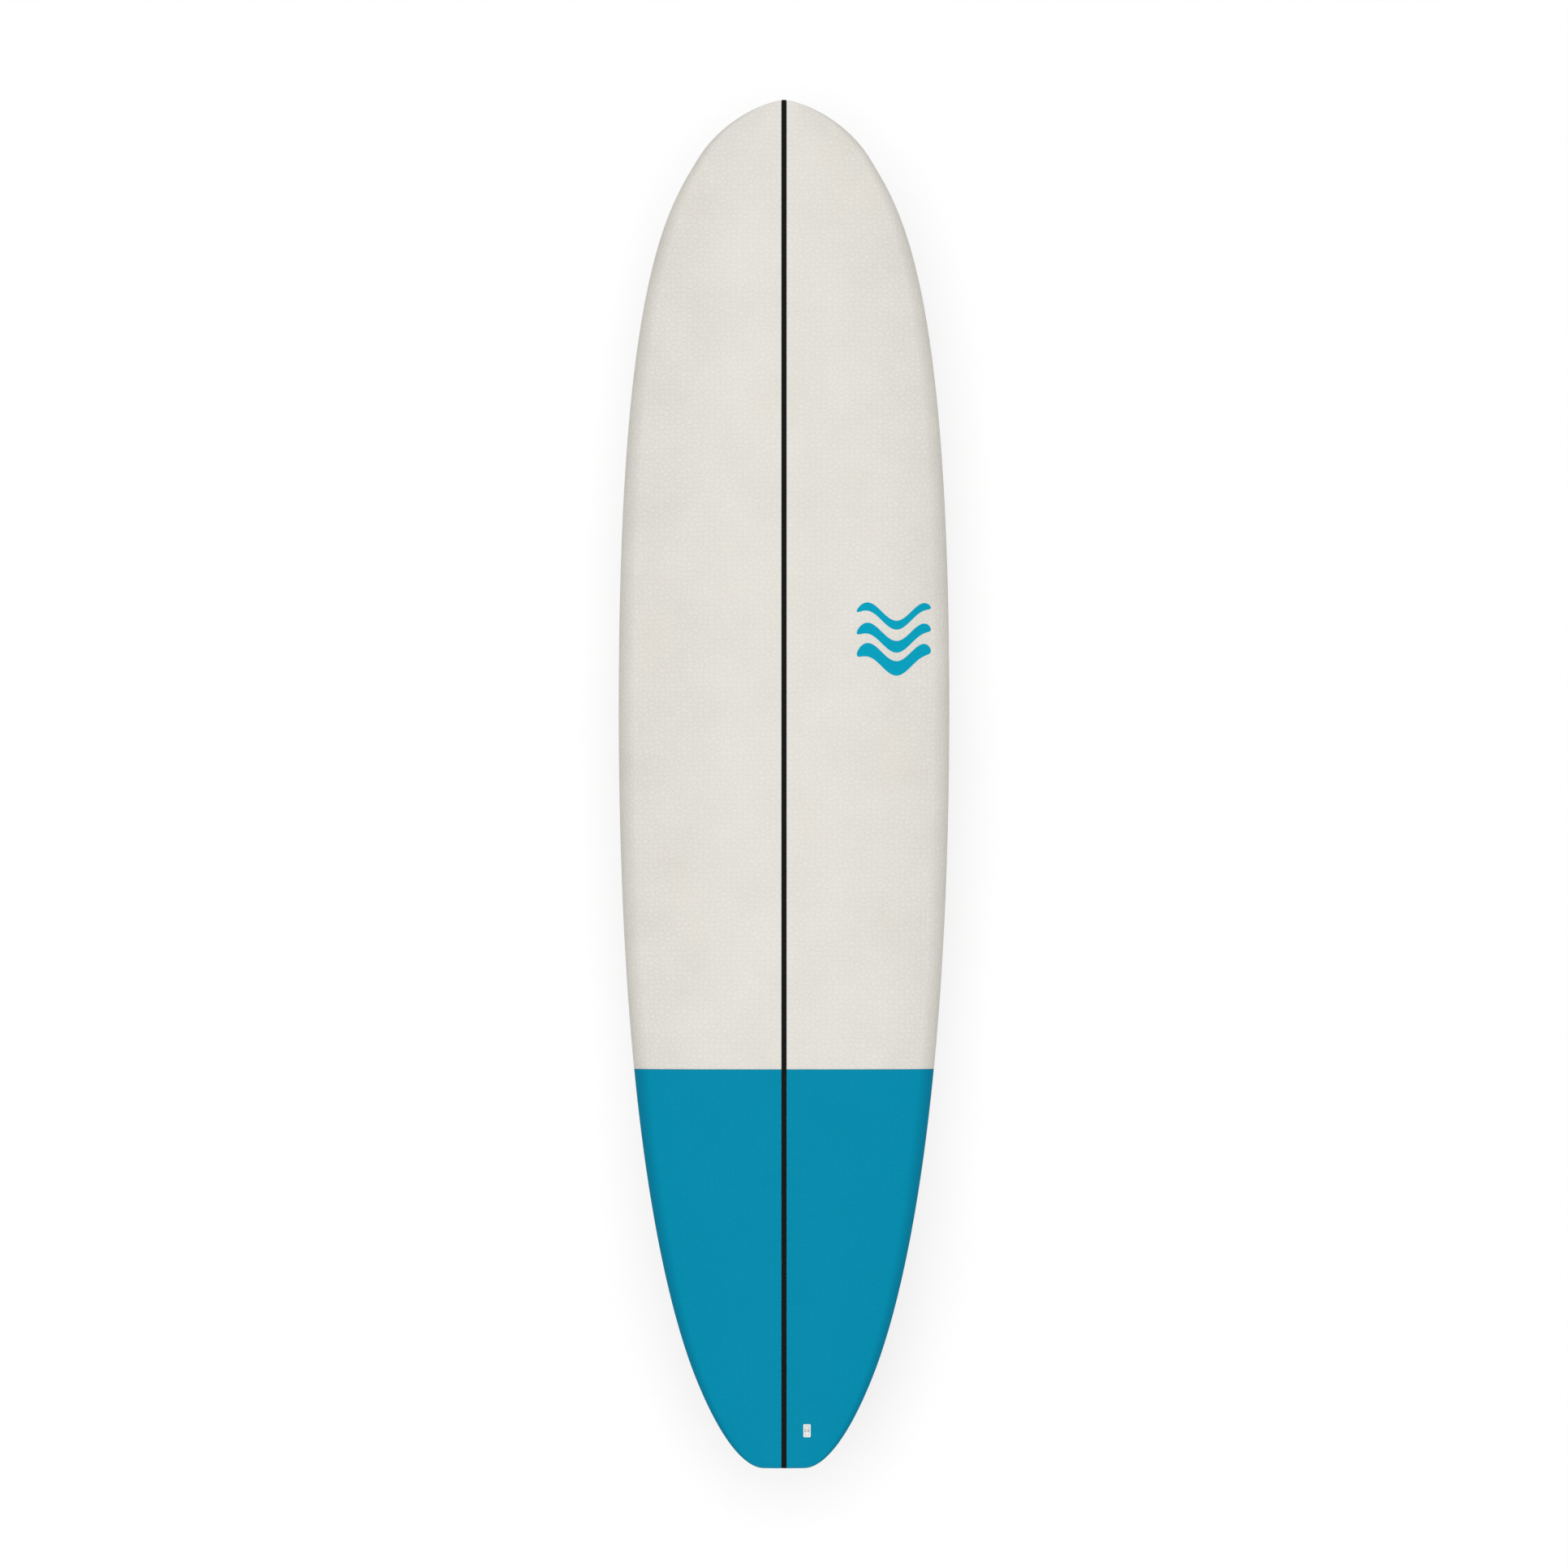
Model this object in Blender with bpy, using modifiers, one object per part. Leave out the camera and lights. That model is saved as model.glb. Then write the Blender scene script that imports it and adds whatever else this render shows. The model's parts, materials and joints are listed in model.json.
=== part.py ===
"""Soft-deck longboard surfboard, modelled as the pieces that it is built from.

Metres. The board lies deck up: +Y runs from tail to nose, +X to the right seen from above, +Z up.
The origin is on the flat of the bottom, on the centreline, at half length.
"""

import math

import bmesh
import bpy
import numpy as np
from mathutils import Matrix, Vector
from mathutils.geometry import interpolate_bezier

OBJECT_NAME = "longboard_surfboard"
GAP = 0.0003

# Hull
LENGTH = 2.4384
HALF = LENGTH / 2
THICKNESS = 0.079
THICKEST_Y = 0.05
NOSE_THICKNESS, NOSE_FOIL = 0.020, 2.4
TAIL_THICKNESS, TAIL_FOIL = 0.026, 3.0
FLAT_ROCKER_HALF = 0.15
NOSE_ROCKER, NOSE_ROCKER_POWER = 0.110, 2.4
TAIL_ROCKER, TAIL_ROCKER_POWER = 0.060, 2.2
END_ROUND, END_BLUNT = 0.010, 0.0015
APEX_SHARE, SEAM_SHARE = 0.45, 0.33  # heights of the rail's widest line and of the skin seam
DECK_POWER, BOTTOM_POWER, FLAT_SHARE = 2.5, 5.0, 0.45
DECK_STEPS, BOTTOM_STEPS = 7, 5

# Half outline from the tail's end to the nose's tip, as (half width, distance from the tail's end):
# each knot with the curve handles before and after it, and the stations in the stretch that follows.
OUTLINE = (
    (None, (0.0360, 0.0), (0.0554, 0.0), 6),
    ((0.1005, 0.0176), (0.1584, 0.1623), (0.2045, 0.2779), 9),
    ((0.2955, 0.598), (0.2955, 1.357), (0.2955, 2.126), 9),
    ((0.2060, 2.248), (0.1535, 2.334), (0.1194, 2.390), 13),
    ((0.0540, LENGTH - 0.008), (0.0, LENGTH), None, 0),
)

# Skins, stripe and stringer
DECK_SKIN, RAIL_SKIN, BOTTOM_SKIN, END_SKIN = 0.005, 0.004, 0.0024, 0.008
STRIPE_WIDTH = 0.0088
STRINGER_WIDTH = 0.006
COLOUR_SPLIT_Y = 0.7116 - HALF

# Centre fin set: a long slotted box, with the fin held by a cross pin and a screw in a nut plate
CENTRE_BOX_Y = 0.2285 - HALF
CENTRE_BOX = Vector((0.025, 0.266, 0.0245))
CENTRE_FLANGE = Vector((0.030, 0.272, 0.0020))
CENTRE_SLOT = Vector((0.0096, 0.250, 0.0210))
CHANNEL_WIDTH, CHANNEL_LOW, CHANNEL_HIGH = 0.0154, 0.0090, 0.0136
ENTRY_LENGTH = 0.016
CENTRE_CORNER = 0.006
CENTRE_BLOCK = Vector((0.060, 0.280, 0.0290))
CENTRE_CHORD, CENTRE_DEPTH, CENTRE_RAKE, CENTRE_THICK = 0.152, 0.178, 0.156, 0.0090
CENTRE_TAB_DEPTH = 0.0195
TONGUE_LENGTH, TONGUE_LOW, TONGUE_HIGH = 0.016, 0.0034, 0.0076
TONGUE_OVERLAP = 0.004
SCREW_Y = (CENTRE_CHORD + TONGUE_LENGTH) / 2  # in the middle of the fin's tongue
PIN_Y = 0.009 - CENTRE_CHORD / 2  # near the rear end of the fin's tab
PIN_RADIUS, PIN_LENGTH, PIN_HEIGHT = 0.0016, 0.0148, 0.0113
PLATE = Vector((0.0146, 0.0100, 0.0030))
SCREW_RADIUS, SCREW_HEAD_RADIUS, SCREW_HEAD, SCREW_SHANK = 0.0020, 0.0040, 0.0024, 0.0118
CROSS_LENGTH, CROSS_WIDTH, CROSS_DEPTH = 0.0048, 0.0011, 0.0015

# Side fin sets: a short box each, with the fin's tab held by a grub screw in front of it
SIDE_REAR, SIDE_OFF_RAIL, SIDE_TOE = 0.318, 0.040, math.radians(3.0)
SIDE_BOX = Vector((0.0130, 0.124, 0.0175))
SIDE_FLANGE = Vector((0.0160, 0.128, 0.0016))
SIDE_CORNER = 0.003
SIDE_SLOT = Vector((0.0069, 0.112, 0.0145))
SIDE_SLOT_Y, SIDE_TAB_Y = -0.0020, -0.0022  # the slot and the tab lie a little behind the box's middle
SIDE_BLOCK = Vector((0.036, 0.140, 0.0250))
SIDE_CHORD, SIDE_DEPTH, SIDE_RAKE, SIDE_THICK = 0.1105, 0.100, 0.104, 0.0062
SIDE_TAB_DEPTH = 0.0135
GRUB_RADIUS, GRUB_LENGTH, GRUB_TOP, GRUB_SOCKET = 0.0020, 0.0090, 0.0010, 0.0012
GRUB_HOLE = 0.012
GRUB_AHEAD = 0.0015  # the grub screw's axis, ahead of the slot's front end
GRUB_Y = SIDE_SLOT_Y + SIDE_SLOT.y / 2 + GRUB_AHEAD

# Leash plug
LEASH_X, LEASH_Y = 0.041, 0.0675 - HALF
LEASH_FLANGE = Vector((0.0129, 0.0230, 0.0016))
LEASH_CUP = Vector((0.0115, 0.0216, 0.0150))
LEASH_HOLLOW = Vector((0.0093, 0.0194, 0.0125))
LEASH_CORNER, HOLLOW_CORNER = 0.0015, 0.0010
LEASH_BAR_RADIUS, LEASH_BAR_LENGTH, LEASH_BAR_DROP = 0.0013, 0.0110, 0.0035
LEASH_BLOCK = Vector((0.044, 0.042, 0.0190))

# Fin blades: how far they reach into the slot, the shape of their edges, and how thick they are
BLADE_ROOT, TIP_CHORD, TIP_THICK = 0.004, 0.006, 0.0012
BLADE_SWEEP, BLADE_CURL = 2.1, 0.4  # how the leading edge sweeps back, and the share that curls at the tip
BLADE_HOLLOW, BLADE_TRAIL = 0.26, 0.08  # the trailing edge's hollow, and its tip's set-back, in chords
BLADE_THICK = 0.9  # of the tab's thickness, as the foil's edges add to it
LEADING_EDGE, TRAILING_EDGE = 0.0005, 0.0004
FOIL_TERMS = ((2.969, 0.5), (-1.26, 1), (-3.516, 2), (2.843, 3), (-1.015, 4))
TAB_START = 0.0004  # how far inside the box's mouth a tab starts

ROUND_STEPS, FOIL_STEPS, BLADE_STEPS = 16, 7, 9
THROUGH_SKIN = 0.012  # deep enough to pass through a skin, to open it for a flange
OUTSIDE = 0.006  # how far a cutter stands out of the hole that it makes
BORE = 0.02  # length of the cutter of a pin's or screw's hole
SEAM_BEYOND, SEAM_BELOW, SEAM_ABOVE = 0.05, -0.1, 0.4  # the seam's cutters, past the hull on each side
FAR = 2.0


def srgb(red, green, blue):
    """Linear colour of an 8-bit screen colour."""
    shares = (value / 255 for value in (red, green, blue))
    return tuple(v / 12.92 if v <= 0.04045 else ((v + 0.055) / 1.055) ** 2.4 for v in shares)


# Colour, roughness, metallic
FINISHES = {
    "foam_white": (srgb(226, 223, 216), 0.62, 0.0),
    "foam_blue": (srgb(0, 139, 172), 0.60, 0.0),
    "foam_black": (srgb(25, 28, 24), 0.58, 0.0),
    "slick_white": (srgb(232, 232, 228), 0.28, 0.0),
    "core_foam": (srgb(240, 240, 236), 0.85, 0.0),
    "block_foam": (srgb(214, 196, 150), 0.80, 0.0),
    "wood": (srgb(196, 158, 108), 0.65, 0.0),
    "box_plastic": (srgb(238, 238, 234), 0.40, 0.0),
    "plug_plastic": (srgb(235, 233, 226), 0.38, 0.0),
    "fin_plastic": (srgb(24, 26, 27), 0.42, 0.0),
    "steel": (srgb(196, 198, 198), 0.28, 1.0),
    "brass": (srgb(200, 168, 98), 0.32, 1.0),
}


# ---------------------------------------------------------------- scene, collections, materials


def clear_scene():
    for obj in list(bpy.data.objects):
        bpy.data.objects.remove(obj, do_unlink=True)


def new_collection(name):
    made = bpy.data.collections.new(name)
    bpy.context.scene.collection.children.link(made)
    return made


def new_material(name):
    colour, roughness, metallic = FINISHES[name]
    made = bpy.data.materials.new(name)
    made.use_nodes = True
    shader = made.node_tree.nodes["Principled BSDF"]
    shader.inputs["Base Color"].default_value = (*colour, 1.0)
    shader.inputs["Roughness"].default_value = roughness
    shader.inputs["Metallic"].default_value = metallic
    return made


class Workshop:
    """Where new pieces and cutters go, and the materials that they share."""

    def __init__(self):
        self.parts = new_collection(OBJECT_NAME)
        self.cutters = new_collection("cutters")
        self.materials = {name: new_material(name) for name in FINISHES}

    def piece(self, name, mesh, finish, frame=None):
        obj = bpy.data.objects.new(name, mesh)
        obj.data.materials.append(self.materials[finish])
        obj.parent = frame
        self.parts.objects.link(obj)
        return obj

    def cutter(self, name, mesh, frame=None):
        obj = bpy.data.objects.new(name, mesh)
        obj.hide_render = True
        obj.display_type = "WIRE"
        obj.parent = frame
        self.cutters.objects.link(obj)
        return obj

    def frame(self, name, matrix):
        """An empty that holds one set of pieces at its place on the hull."""
        empty = bpy.data.objects.new(name, None)
        empty.empty_display_size = 0.03
        empty.matrix_world = matrix
        self.parts.objects.link(empty)
        return empty


def boolean(obj, other, operation="DIFFERENCE"):
    modifier = obj.modifiers.new(f"{operation.lower()} {other.name}", "BOOLEAN")
    modifier.operation = operation
    modifier.object = other
    modifier.solver = "EXACT"


# ---------------------------------------------------------------- meshes


def to_mesh(name, bm, smooth=False):
    bmesh.ops.recalc_face_normals(bm, faces=bm.faces)
    mesh = bpy.data.meshes.new(name)
    bm.to_mesh(mesh)
    bm.free()
    if smooth:
        mesh.shade_smooth()
        mesh.set_sharp_from_angle(angle=math.radians(35))
    return mesh


def block(name, size, centre=(0, 0, 0), radius=0.0):
    """A box whose four upright edges are rounded."""
    bm = bmesh.new()
    bmesh.ops.create_cube(bm, size=1.0)
    bmesh.ops.scale(bm, vec=size, verts=bm.verts)
    if radius:
        upright = [e for e in bm.edges if abs(e.verts[0].co.z - e.verts[1].co.z) > 0.5 * size[2]]
        bmesh.ops.bevel(bm, geom=upright, offset=radius, segments=3, profile=0.5, affect="EDGES")
    bmesh.ops.translate(bm, vec=centre, verts=bm.verts)
    return to_mesh(name, bm)


def span_block(name, low, high):
    """A box between two corners."""
    low, high = Vector(low), Vector(high)
    return block(name, high - low, (low + high) / 2)


def rod(name, radius, length, centre=(0, 0, 0), along="Z", steps=ROUND_STEPS):
    """A cylinder along X or Z."""
    bm = bmesh.new()
    turn = Matrix.Rotation(math.pi / 2, 4, "Y") if along == "X" else Matrix()
    bmesh.ops.create_cone(
        bm, cap_ends=True, segments=steps, radius1=radius, radius2=radius, depth=length, matrix=turn
    )
    bmesh.ops.translate(bm, vec=centre, verts=bm.verts)
    return to_mesh(name, bm, smooth=True)


def loft(name, rings, smooth=True):
    """A closed body through rings of equally many points, flat across both ends."""
    bm = bmesh.new()
    rows = [[bm.verts.new(point) for point in ring] for ring in rings]
    count = len(rows[0])
    for row, following in zip(rows, rows[1:]):
        for i in range(count):
            j = (i + 1) % count
            bm.faces.new((row[i], row[j], following[j], following[i]))
    bm.faces.new(rows[0])
    bm.faces.new(reversed(rows[-1]))
    return to_mesh(name, bm, smooth)


def turned(obj, steps=ROUND_STEPS):
    """Turns an object's open profile about its own Z axis."""
    screw = obj.modifiers.new("turned", "SCREW")
    screw.axis = "Z"
    screw.steps = steps
    screw.render_steps = steps
    screw.use_merge_vertices = True
    screw.merge_threshold = 0.00001
    screw.use_smooth_shade = False


def profile_mesh(name, points):
    """A chain of edges through (radius, height) points, from the top down."""
    mesh = bpy.data.meshes.new(name)
    vertices = [(radius, 0.0, height) for radius, height in points]
    mesh.from_pydata(vertices, [(i, i + 1) for i in range(len(points) - 1)], [])
    return mesh


# ---------------------------------------------------------------- the hull's shape


def outline_stations():
    """(half width, y) at each station, from the tail's end to just short of the nose's tip."""
    found = []
    for (_, knot, leaving, count), (arriving, following, _, _) in zip(OUTLINE, OUTLINE[1:]):
        corners = [Vector((*p, 0.0)) for p in (knot, leaving, arriving, following)]
        found += interpolate_bezier(*corners, count + 1)[:-1]
    return [(p.x, p.y - HALF) for p in found]


STATIONS = outline_stations()


def half_width(y):
    return float(np.interp(y, [s[1] for s in STATIONS], [s[0] for s in STATIONS]))


def rocker(y):
    """Height of the bottom's centreline, level for a stretch at half length."""
    run = max(0.0, (abs(y) - FLAT_ROCKER_HALF) / (HALF - FLAT_ROCKER_HALF))
    return NOSE_ROCKER * run**NOSE_ROCKER_POWER if y > 0 else TAIL_ROCKER * run**TAIL_ROCKER_POWER


def thickness(y):
    """Thickness on the centreline, before the ends are rounded off."""
    if y > THICKEST_Y:
        end, power, share = NOSE_THICKNESS, NOSE_FOIL, (y - THICKEST_Y) / (HALF - THICKEST_Y)
    else:
        end, power, share = TAIL_THICKNESS, TAIL_FOIL, (THICKEST_Y - y) / (HALF + THICKEST_Y)
    return end + (THICKNESS - end) * (1 - min(share, 1.0) ** power)


def end_rounding(y):
    """Share of the thickness that is left where the nose and tail are rounded over."""
    left = min(1.0, (HALF - abs(y) + END_BLUNT) / (END_ROUND + END_BLUNT))
    return math.sqrt(max(0.0, 1 - (1 - left) ** 2))


def heights(y):
    """(rail line height, rise to the deck, drop to the bottom) at y."""
    thick, kept = thickness(y), end_rounding(y)
    return rocker(y) + APEX_SHARE * thick, (1 - APEX_SHARE) * thick * kept, APEX_SHARE * thick * kept


def deck_height(x, y):
    apex, rise, _ = heights(y)
    share = min(1.0, abs(x) / half_width(y))
    return apex + rise * (1 - share**DECK_POWER) ** (1 / DECK_POWER)


def bottom_height(x, y):
    apex, _, drop = heights(y)
    share = max(0.0, (abs(x) / half_width(y) - FLAT_SHARE) / (1 - FLAT_SHARE))
    return apex - drop * (1 - min(1.0, share) ** BOTTOM_POWER) ** 0.5


def section(half, y, deck=0.0, rail=0.0, bottom=0.0):
    """Points round the hull's section at y, inset all round, from the deck's middle over the right rail."""
    apex, rise, drop = heights(y)
    half, rise, drop = half - rail, rise - deck, drop - bottom
    right = []
    for i in range(DECK_STEPS + 1):
        turn = math.pi / 2 * i / DECK_STEPS
        across = math.sin(turn) ** (2 / DECK_POWER)
        up = max(0.0, math.cos(turn)) ** (2 / DECK_POWER)
        right.append((half * across, y, apex + rise * up))
    for i in range(1, BOTTOM_STEPS + 1):
        turn = math.pi / 2 * i / BOTTOM_STEPS
        across = FLAT_SHARE + (1 - FLAT_SHARE) * max(0.0, math.cos(turn)) ** (2 / BOTTOM_POWER)
        right.append((half * across, y, apex - drop * math.sin(turn)))
    return right + [(-x, y, z) for x, y, z in reversed(right[1:])]


def hull_rings(extra=None):
    """The hull's sections. With extra, the sections of the space inside the skins, that much further in."""
    if extra is None:
        return [section(half, y) for half, y in STATIONS]
    shorter = 1 - (END_SKIN + extra) / HALF
    insets = (DECK_SKIN + extra, RAIL_SKIN + extra, BOTTOM_SKIN + extra)
    return [section(half, y * shorter, *insets) for half, y in STATIONS]


def seam_rings(lift, reach):
    """A slab from the seam's height, lifted, to the height reach, wider and longer than the hull."""
    rings = []
    stations = [-HALF - SEAM_BEYOND] + [y for _, y in STATIONS] + [HALF + SEAM_BEYOND]
    for y in stations:
        inner = max(-HALF, min(HALF, y))
        seam = rocker(inner) + SEAM_SHARE * thickness(inner) + lift
        wide = half_width(0.0) + SEAM_BEYOND
        rings.append([(-wide, y, seam), (wide, y, seam), (wide, y, reach), (-wide, y, reach)])
    return rings


def surface_frame(height, x, y, toe=0.0):
    """Matrix at a point of the deck or bottom: Z up along the normal, Y towards the nose."""
    step = 0.002
    slope_x = (height(x + step, y) - height(x - step, y)) / (2 * step)
    slope_y = (height(x, y + step) - height(x, y - step)) / (2 * step)
    normal = Vector((-slope_x, -slope_y, 1.0)).normalized()
    heading = Vector((-math.sin(toe), math.cos(toe), 0.0))
    along = (heading - heading.dot(normal) * normal).normalized()
    across = along.cross(normal)
    turn = Matrix((across, along, normal)).transposed().to_4x4()
    return Matrix.Translation((x, y, height(x, y))) @ turn


# ---------------------------------------------------------------- hull pieces


def hull_cutters(shop):
    """Shapes that divide the hull into skins, stripe, core and stringer."""
    rings = {
        "inside": hull_rings(0.0),
        "core": hull_rings(GAP),
        "above": seam_rings(-GAP / 2, SEAM_ABOVE),
        "below": seam_rings(GAP / 2, SEAM_BELOW),
    }
    return {name: shop.cutter(f"hull_{name}", loft(f"hull_{name}", rows)) for name, rows in rings.items()}


def keep_box(shop, name, x_span, y_span):
    """A tall box that keeps only what lies between these limits."""
    low, high = (x_span[0], y_span[0], -FAR), (x_span[1], y_span[1], FAR)
    return shop.cutter(f"keep_{name}", span_block(f"keep_{name}", low, high))


def deck_skins(shop, cuts):
    """Four deck foam panels, divided by the stripe and by the colour line, wrapped over the rails."""
    inner = STRIPE_WIDTH / 2 + GAP
    sides = {"left": (-FAR, -inner), "right": (inner, FAR)}
    lengths = {"front": (COLOUR_SPLIT_Y + GAP / 2, FAR), "tail": (-FAR, COLOUR_SPLIT_Y - GAP / 2)}
    finishes = {"front": "foam_white", "tail": "foam_blue"}
    made = {}
    for end, y_span in lengths.items():
        for side, x_span in sides.items():
            name = f"deck_skin_{end}_{side}"
            skin = shop.piece(name, loft(name, hull_rings()), finishes[end])
            boolean(skin, keep_box(shop, name, x_span, y_span), "INTERSECT")
            boolean(skin, cuts["inside"])
            boolean(skin, cuts["below"])
            made[name] = skin
    return made


def deck_stripe(shop, cuts):
    half = STRIPE_WIDTH / 2
    stripe = shop.piece("deck_stripe", loft("deck_stripe", hull_rings()), "foam_black")
    boolean(stripe, keep_box(shop, "deck_stripe", (-half, half), (-FAR, FAR)), "INTERSECT")
    boolean(stripe, cuts["inside"])
    boolean(stripe, cuts["below"])


def bottom_skin(shop, cuts):
    skin = shop.piece("bottom_skin", loft("bottom_skin", hull_rings()), "slick_white")
    boolean(skin, cuts["inside"])
    boolean(skin, cuts["above"])
    return skin


def core_pieces(shop):
    """Two foam halves glued to a wooden stringer."""
    half = STRINGER_WIDTH / 2
    spans = {
        "core_left": (-FAR, -half - GAP),
        "stringer": (-half, half),
        "core_right": (half + GAP, FAR),
    }
    made = {}
    for name, x_span in spans.items():
        finish = "wood" if name == "stringer" else "core_foam"
        piece = shop.piece(name, loft(name, hull_rings(GAP)), finish)
        boolean(piece, keep_box(shop, name, x_span, (-FAR, FAR)), "INTERSECT")
        made[name] = piece
    return made


# ---------------------------------------------------------------- fins


def foil_swell(share):
    """Half thickness of a standard foil, this share of the way from its leading to its trailing edge."""
    return sum(factor * share**power for factor, power in FOIL_TERMS)


def foil_ring(front, rear, thick, height, flat_side):
    """Points round a foil section. flat_side is 0 for two curved faces, or else the flat face's sign."""
    chord = front - rear
    curved = 0.5 if flat_side == 0 else 1.0
    upper, lower = [], []
    for i in range(FOIL_STEPS + 1):
        share = (1 - math.cos(math.pi * i / FOIL_STEPS)) / 2
        edge = LEADING_EDGE * (1 - share) + TRAILING_EDGE * share
        offset = curved * thick * foil_swell(share) + edge
        y = front - chord * share
        upper.append((offset, y, height))
        flat = -edge if flat_side else -offset
        lower.append((flat, y, height))
    if flat_side:
        centre = thick / 2
        upper = [((x - centre) * -flat_side, y, z) for x, y, z in upper]
        lower = [((x - centre) * -flat_side, y, z) for x, y, z in lower]
    return upper + lower[::-1]


def fin_blade(name, chord, depth, rake, thick, flat_side=0):
    """A raked fin from inside its slot down to its tip. Depth runs along -Z, the leading edge is at +Y."""
    rings = []
    for i in range(BLADE_STEPS + 1):
        share = math.sin(math.pi / 2 * i / BLADE_STEPS)
        curl = 1 - math.sqrt(max(0.0, 1 - share**2))
        sweep = (1 - BLADE_CURL) * share**BLADE_SWEEP + BLADE_CURL * curl
        front = chord / 2 - rake * sweep
        hollow = BLADE_HOLLOW * share * (1 - share) - BLADE_TRAIL * share**2
        rear = min(chord * (hollow - 0.5), front - TIP_CHORD)
        local = BLADE_THICK * (TIP_THICK + (thick - TIP_THICK) * (front - rear) / chord)
        height = BLADE_ROOT - (depth + BLADE_ROOT) * share
        rings.append(foil_ring(front, rear, local, height, flat_side))
    return loft(name, rings)


def finned(shop, name, blade, tab, frame, y=0.0):
    """A fin: its blade joined to the tab that sits in the box. tab is its width, length and end height."""
    fin = shop.piece(name, blade, "fin_plastic", frame)
    size = Vector((tab.x, tab.y, tab.z - TAB_START))
    tab_mesh = block(f"{name}_tab", size, (0, 0, (tab.z + TAB_START) / 2))
    joined = shop.cutter(f"{name}_tab", tab_mesh, frame)
    fin.location.y = joined.location.y = y
    boolean(fin, joined, "UNION")
    return fin


# ---------------------------------------------------------------- centre fin set


def flanged_box(shop, name, flange, box, radius, finish, frame, into=1):
    """A box with a flange at its mouth, at z = 0, reaching along Z as into says."""
    body = block(name, box, (0, 0, into * box.z / 2), radius)
    made = shop.piece(name, body, finish, frame)
    rim_mesh = block(f"{name}_flange", flange, (0, 0, into * flange.z / 2), radius)
    boolean(made, shop.cutter(f"{name}_flange", rim_mesh, frame), "UNION")
    return made


def pocket(shop, frame, name, size, cut, into=1, depth=None, radius=0.0):
    """Cuts a box's space, with a gap all round, out of other pieces, open at the outer side."""
    deep = (size.z if depth is None else depth) + GAP
    grown = Vector((size.x + 2 * GAP, size.y + 2 * GAP, deep + OUTSIDE))
    centre = (0, 0, into * (deep - OUTSIDE) / 2)
    cutter = shop.cutter(f"space_{name}", block(f"space_{name}", grown, centre, radius), frame)
    for piece in cut:
        boolean(piece, cutter)


def foam_block(shop, frame, name, size, cuts, into=1):
    """A dense foam block that holds a box, shaped flush with the core's surface."""
    made = shop.piece(name, block(name, size, (0, 0, into * size.z / 2)), "block_foam", frame)
    boolean(made, cuts["core"], "INTERSECT")
    return made


def centre_box(shop, frame):
    """The slotted box, with a wider channel for the nut plate and an entry for it at the front end."""
    sizes = (CENTRE_FLANGE, CENTRE_BOX, CENTRE_CORNER)
    box = flanged_box(shop, "centre_fin_box", *sizes, "box_plastic", frame)
    slot = Vector((CENTRE_SLOT.x, CENTRE_SLOT.y, CENTRE_SLOT.z + OUTSIDE))
    channel = Vector((CHANNEL_WIDTH, CENTRE_SLOT.y, CHANNEL_HIGH - CHANNEL_LOW))
    entry = Vector((CHANNEL_WIDTH, ENTRY_LENGTH, CHANNEL_HIGH + OUTSIDE))
    entry_y = (CENTRE_SLOT.y - ENTRY_LENGTH) / 2
    shapes = {
        "slot": (slot, (0, 0, (CENTRE_SLOT.z - OUTSIDE) / 2)),
        "channel": (channel, (0, 0, (CHANNEL_LOW + CHANNEL_HIGH) / 2)),
        "entry": (entry, (0, entry_y, (CHANNEL_HIGH - OUTSIDE) / 2)),
    }
    for name, (size, centre) in shapes.items():
        boolean(box, shop.cutter(f"box_{name}", block(f"box_{name}", size, centre), frame))


def centre_fin(shop, frame):
    """The centre fin, with a tongue ahead of its tab for the screw and a cross hole for the pin."""
    blade = fin_blade("centre_fin", CENTRE_CHORD, CENTRE_DEPTH, CENTRE_RAKE, CENTRE_THICK)
    tab = Vector((CENTRE_THICK, CENTRE_CHORD, CENTRE_TAB_DEPTH))
    fin = finned(shop, "centre_fin", blade, tab, frame)
    low = (-CENTRE_THICK / 2, CENTRE_CHORD / 2 - TONGUE_OVERLAP, TONGUE_LOW)
    high = (CENTRE_THICK / 2, CENTRE_CHORD / 2 + TONGUE_LENGTH, TONGUE_HIGH)
    boolean(fin, shop.cutter("fin_tongue", span_block("fin_tongue", low, high), frame), "UNION")
    screw_hole = rod("hole_screw", SCREW_RADIUS + GAP, BORE, (0, SCREW_Y, TONGUE_HIGH))
    boolean(fin, shop.cutter("hole_screw", screw_hole, frame))
    pin_hole = rod("hole_pin", PIN_RADIUS + GAP, BORE, (0, PIN_Y, PIN_HEIGHT), "X")
    boolean(fin, shop.cutter("hole_pin", pin_hole, frame))


def centre_pin(shop, frame):
    mesh = rod("centre_fin_pin", PIN_RADIUS, PIN_LENGTH, along="X")
    pin = shop.piece("centre_fin_pin", mesh, "steel", frame)
    pin.location = (0, PIN_Y, PIN_HEIGHT)


def nut_plate(shop, frame):
    mesh = block("centre_fin_plate", PLATE, radius=0.001)
    plate = shop.piece("centre_fin_plate", mesh, "brass", frame)
    plate.location = (0, SCREW_Y, CHANNEL_LOW + GAP + PLATE.z / 2)
    hole = shop.cutter("hole_plate", rod("hole_plate", SCREW_RADIUS + GAP, BORE), frame)
    hole.location = plate.location
    boolean(plate, hole)


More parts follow.
